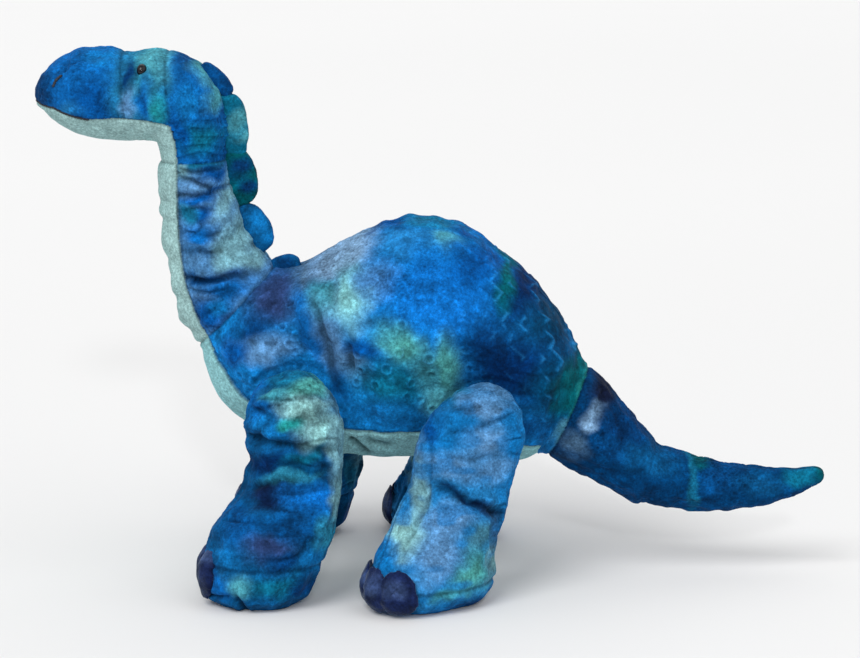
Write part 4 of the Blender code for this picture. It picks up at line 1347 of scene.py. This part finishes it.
def on_side(surface, flat, side):
    """Point of a surface at an x and z, seen from one side."""
    hit = surface.ray_cast(Vector((flat[0], side * 120.0, flat[1])), Vector((0.0, -side, 0.0)))[0]
    return np.array(hit) if hit is not None else np.array([flat[0], 0.0, flat[1]])


def add_stitches(skin):
    """Embroidered mouth and nostrils."""
    near = skin.on("muzzle", "jaw", "face")[skin.faces].any(axis=1)
    surface = BVHTree.FromPolygons(skin.at.tolist(), skin.faces[near].tolist())
    thread = thread_material()
    left = [on_side(surface, flat, -1.0) for flat in eased(MOUTH_ROUTE, 60)]
    right = [point * np.array([1.0, -1.0, 1.0]) for point in reversed(left)]
    mouth = eased(left + right, 260)
    piece = embroidered("mouth_embroidery", [mouth], surface, thread)
    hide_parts("mouth_stitching")
    slits = []
    for side in (-1.0, 1.0):
        slits.append([on_side(surface, flat, side) for flat in eased(NOSTRIL_ROUTE, 30)])
    embroidered("nostril_embroidery", slits, surface, thread, NOSTRIL_RADIUS)


# ---------------------------------------------------------------- stage

FLOOR_SIZE = 40.0       # half its width in metres
SUNS = (                # name, place, power and softness in degrees
    ("key", (-0.45, -0.75, 1.0), 1.55, 35.0), ("fill", (0.8, -0.5, 0.9), 0.5, 60.0),
    ("back", (0.1, 0.9, 1.1), 0.5, 60.0), ("glint", (0.12, -1.0, 0.5), 0.5, 4.5),
)


def add_stage():
    """Pale floor and soft lights."""
    mesh = bpy.data.meshes.new("floor")
    corners = [(FLOOR_SIZE * x, FLOOR_SIZE * y, 0.0) for x, y in ((-1, -1), (1, -1), (1, 1), (-1, 1))]
    mesh.from_pydata(corners, [], [(0, 1, 2, 3)])
    floor = add_object("floor", mesh)
    mesh.materials.append(grained("floor_paper", 0.95, 40.0, 0.775, 0.795))
    world = bpy.data.worlds.new("studio")
    bpy.context.scene.world = world
    world.use_nodes = True
    world.node_tree.nodes["Background"].inputs["Color"].default_value = (1.0, 1.0, 1.0, 1.0)
    world.node_tree.nodes["Background"].inputs["Strength"].default_value = 0.52
    for light in SUNS:
        add_sun(*light)


def add_sun(name, place, power, softness):
    """Wide soft light that shines from a place towards the toy."""
    data = bpy.data.lights.new(name, "SUN")
    data.energy, data.angle = power, math.radians(softness)
    light = add_object(name, data)
    light.location = place
    light.rotation_euler = (-Vector(place)).to_track_quat("-Z", "Y").to_euler()


CAMERA_AZIMUTH = 3.5
CAMERA_ELEVATION = 12.0
CAMERA_DISTANCE = 2.55
VIEW_WIDTH = 0.5975     # what the frame spans at the toy's middle plane
SENSOR = 36.0
AIM = (-0.001, 0.0, 0.171)
CAMERA_ROLL = 0.5       # degrees, the horizon's slight tilt


def add_camera():
    """Long lens at the toy's left side, a little in front and above."""
    azimuth, elevation = math.radians(CAMERA_AZIMUTH), math.radians(CAMERA_ELEVATION)
    back = Vector((math.sin(azimuth), -math.cos(azimuth), 0.0)) * math.cos(elevation)
    back.z = math.sin(elevation)
    data = bpy.data.cameras.new("camera")
    data.sensor_width = SENSOR
    data.lens = SENSOR * CAMERA_DISTANCE / VIEW_WIDTH
    camera = add_object("camera", data)
    camera.location = Vector(AIM) + back * CAMERA_DISTANCE
    level = (-back).to_track_quat("-Z", "Y")
    roll = Quaternion((0.0, 0.0, 1.0), math.radians(-CAMERA_ROLL))
    camera.rotation_euler = (level @ roll).to_euler()
    bpy.context.scene.camera = camera


tube_skin = add_tube()
add_stitches(tube_skin)
add_eyes(tube_skin)
add_washer_looks()
add_plates()
add_legs()
add_toenails()
add_stage()
add_camera()
bpy.context.scene.view_settings.view_transform = "Standard"
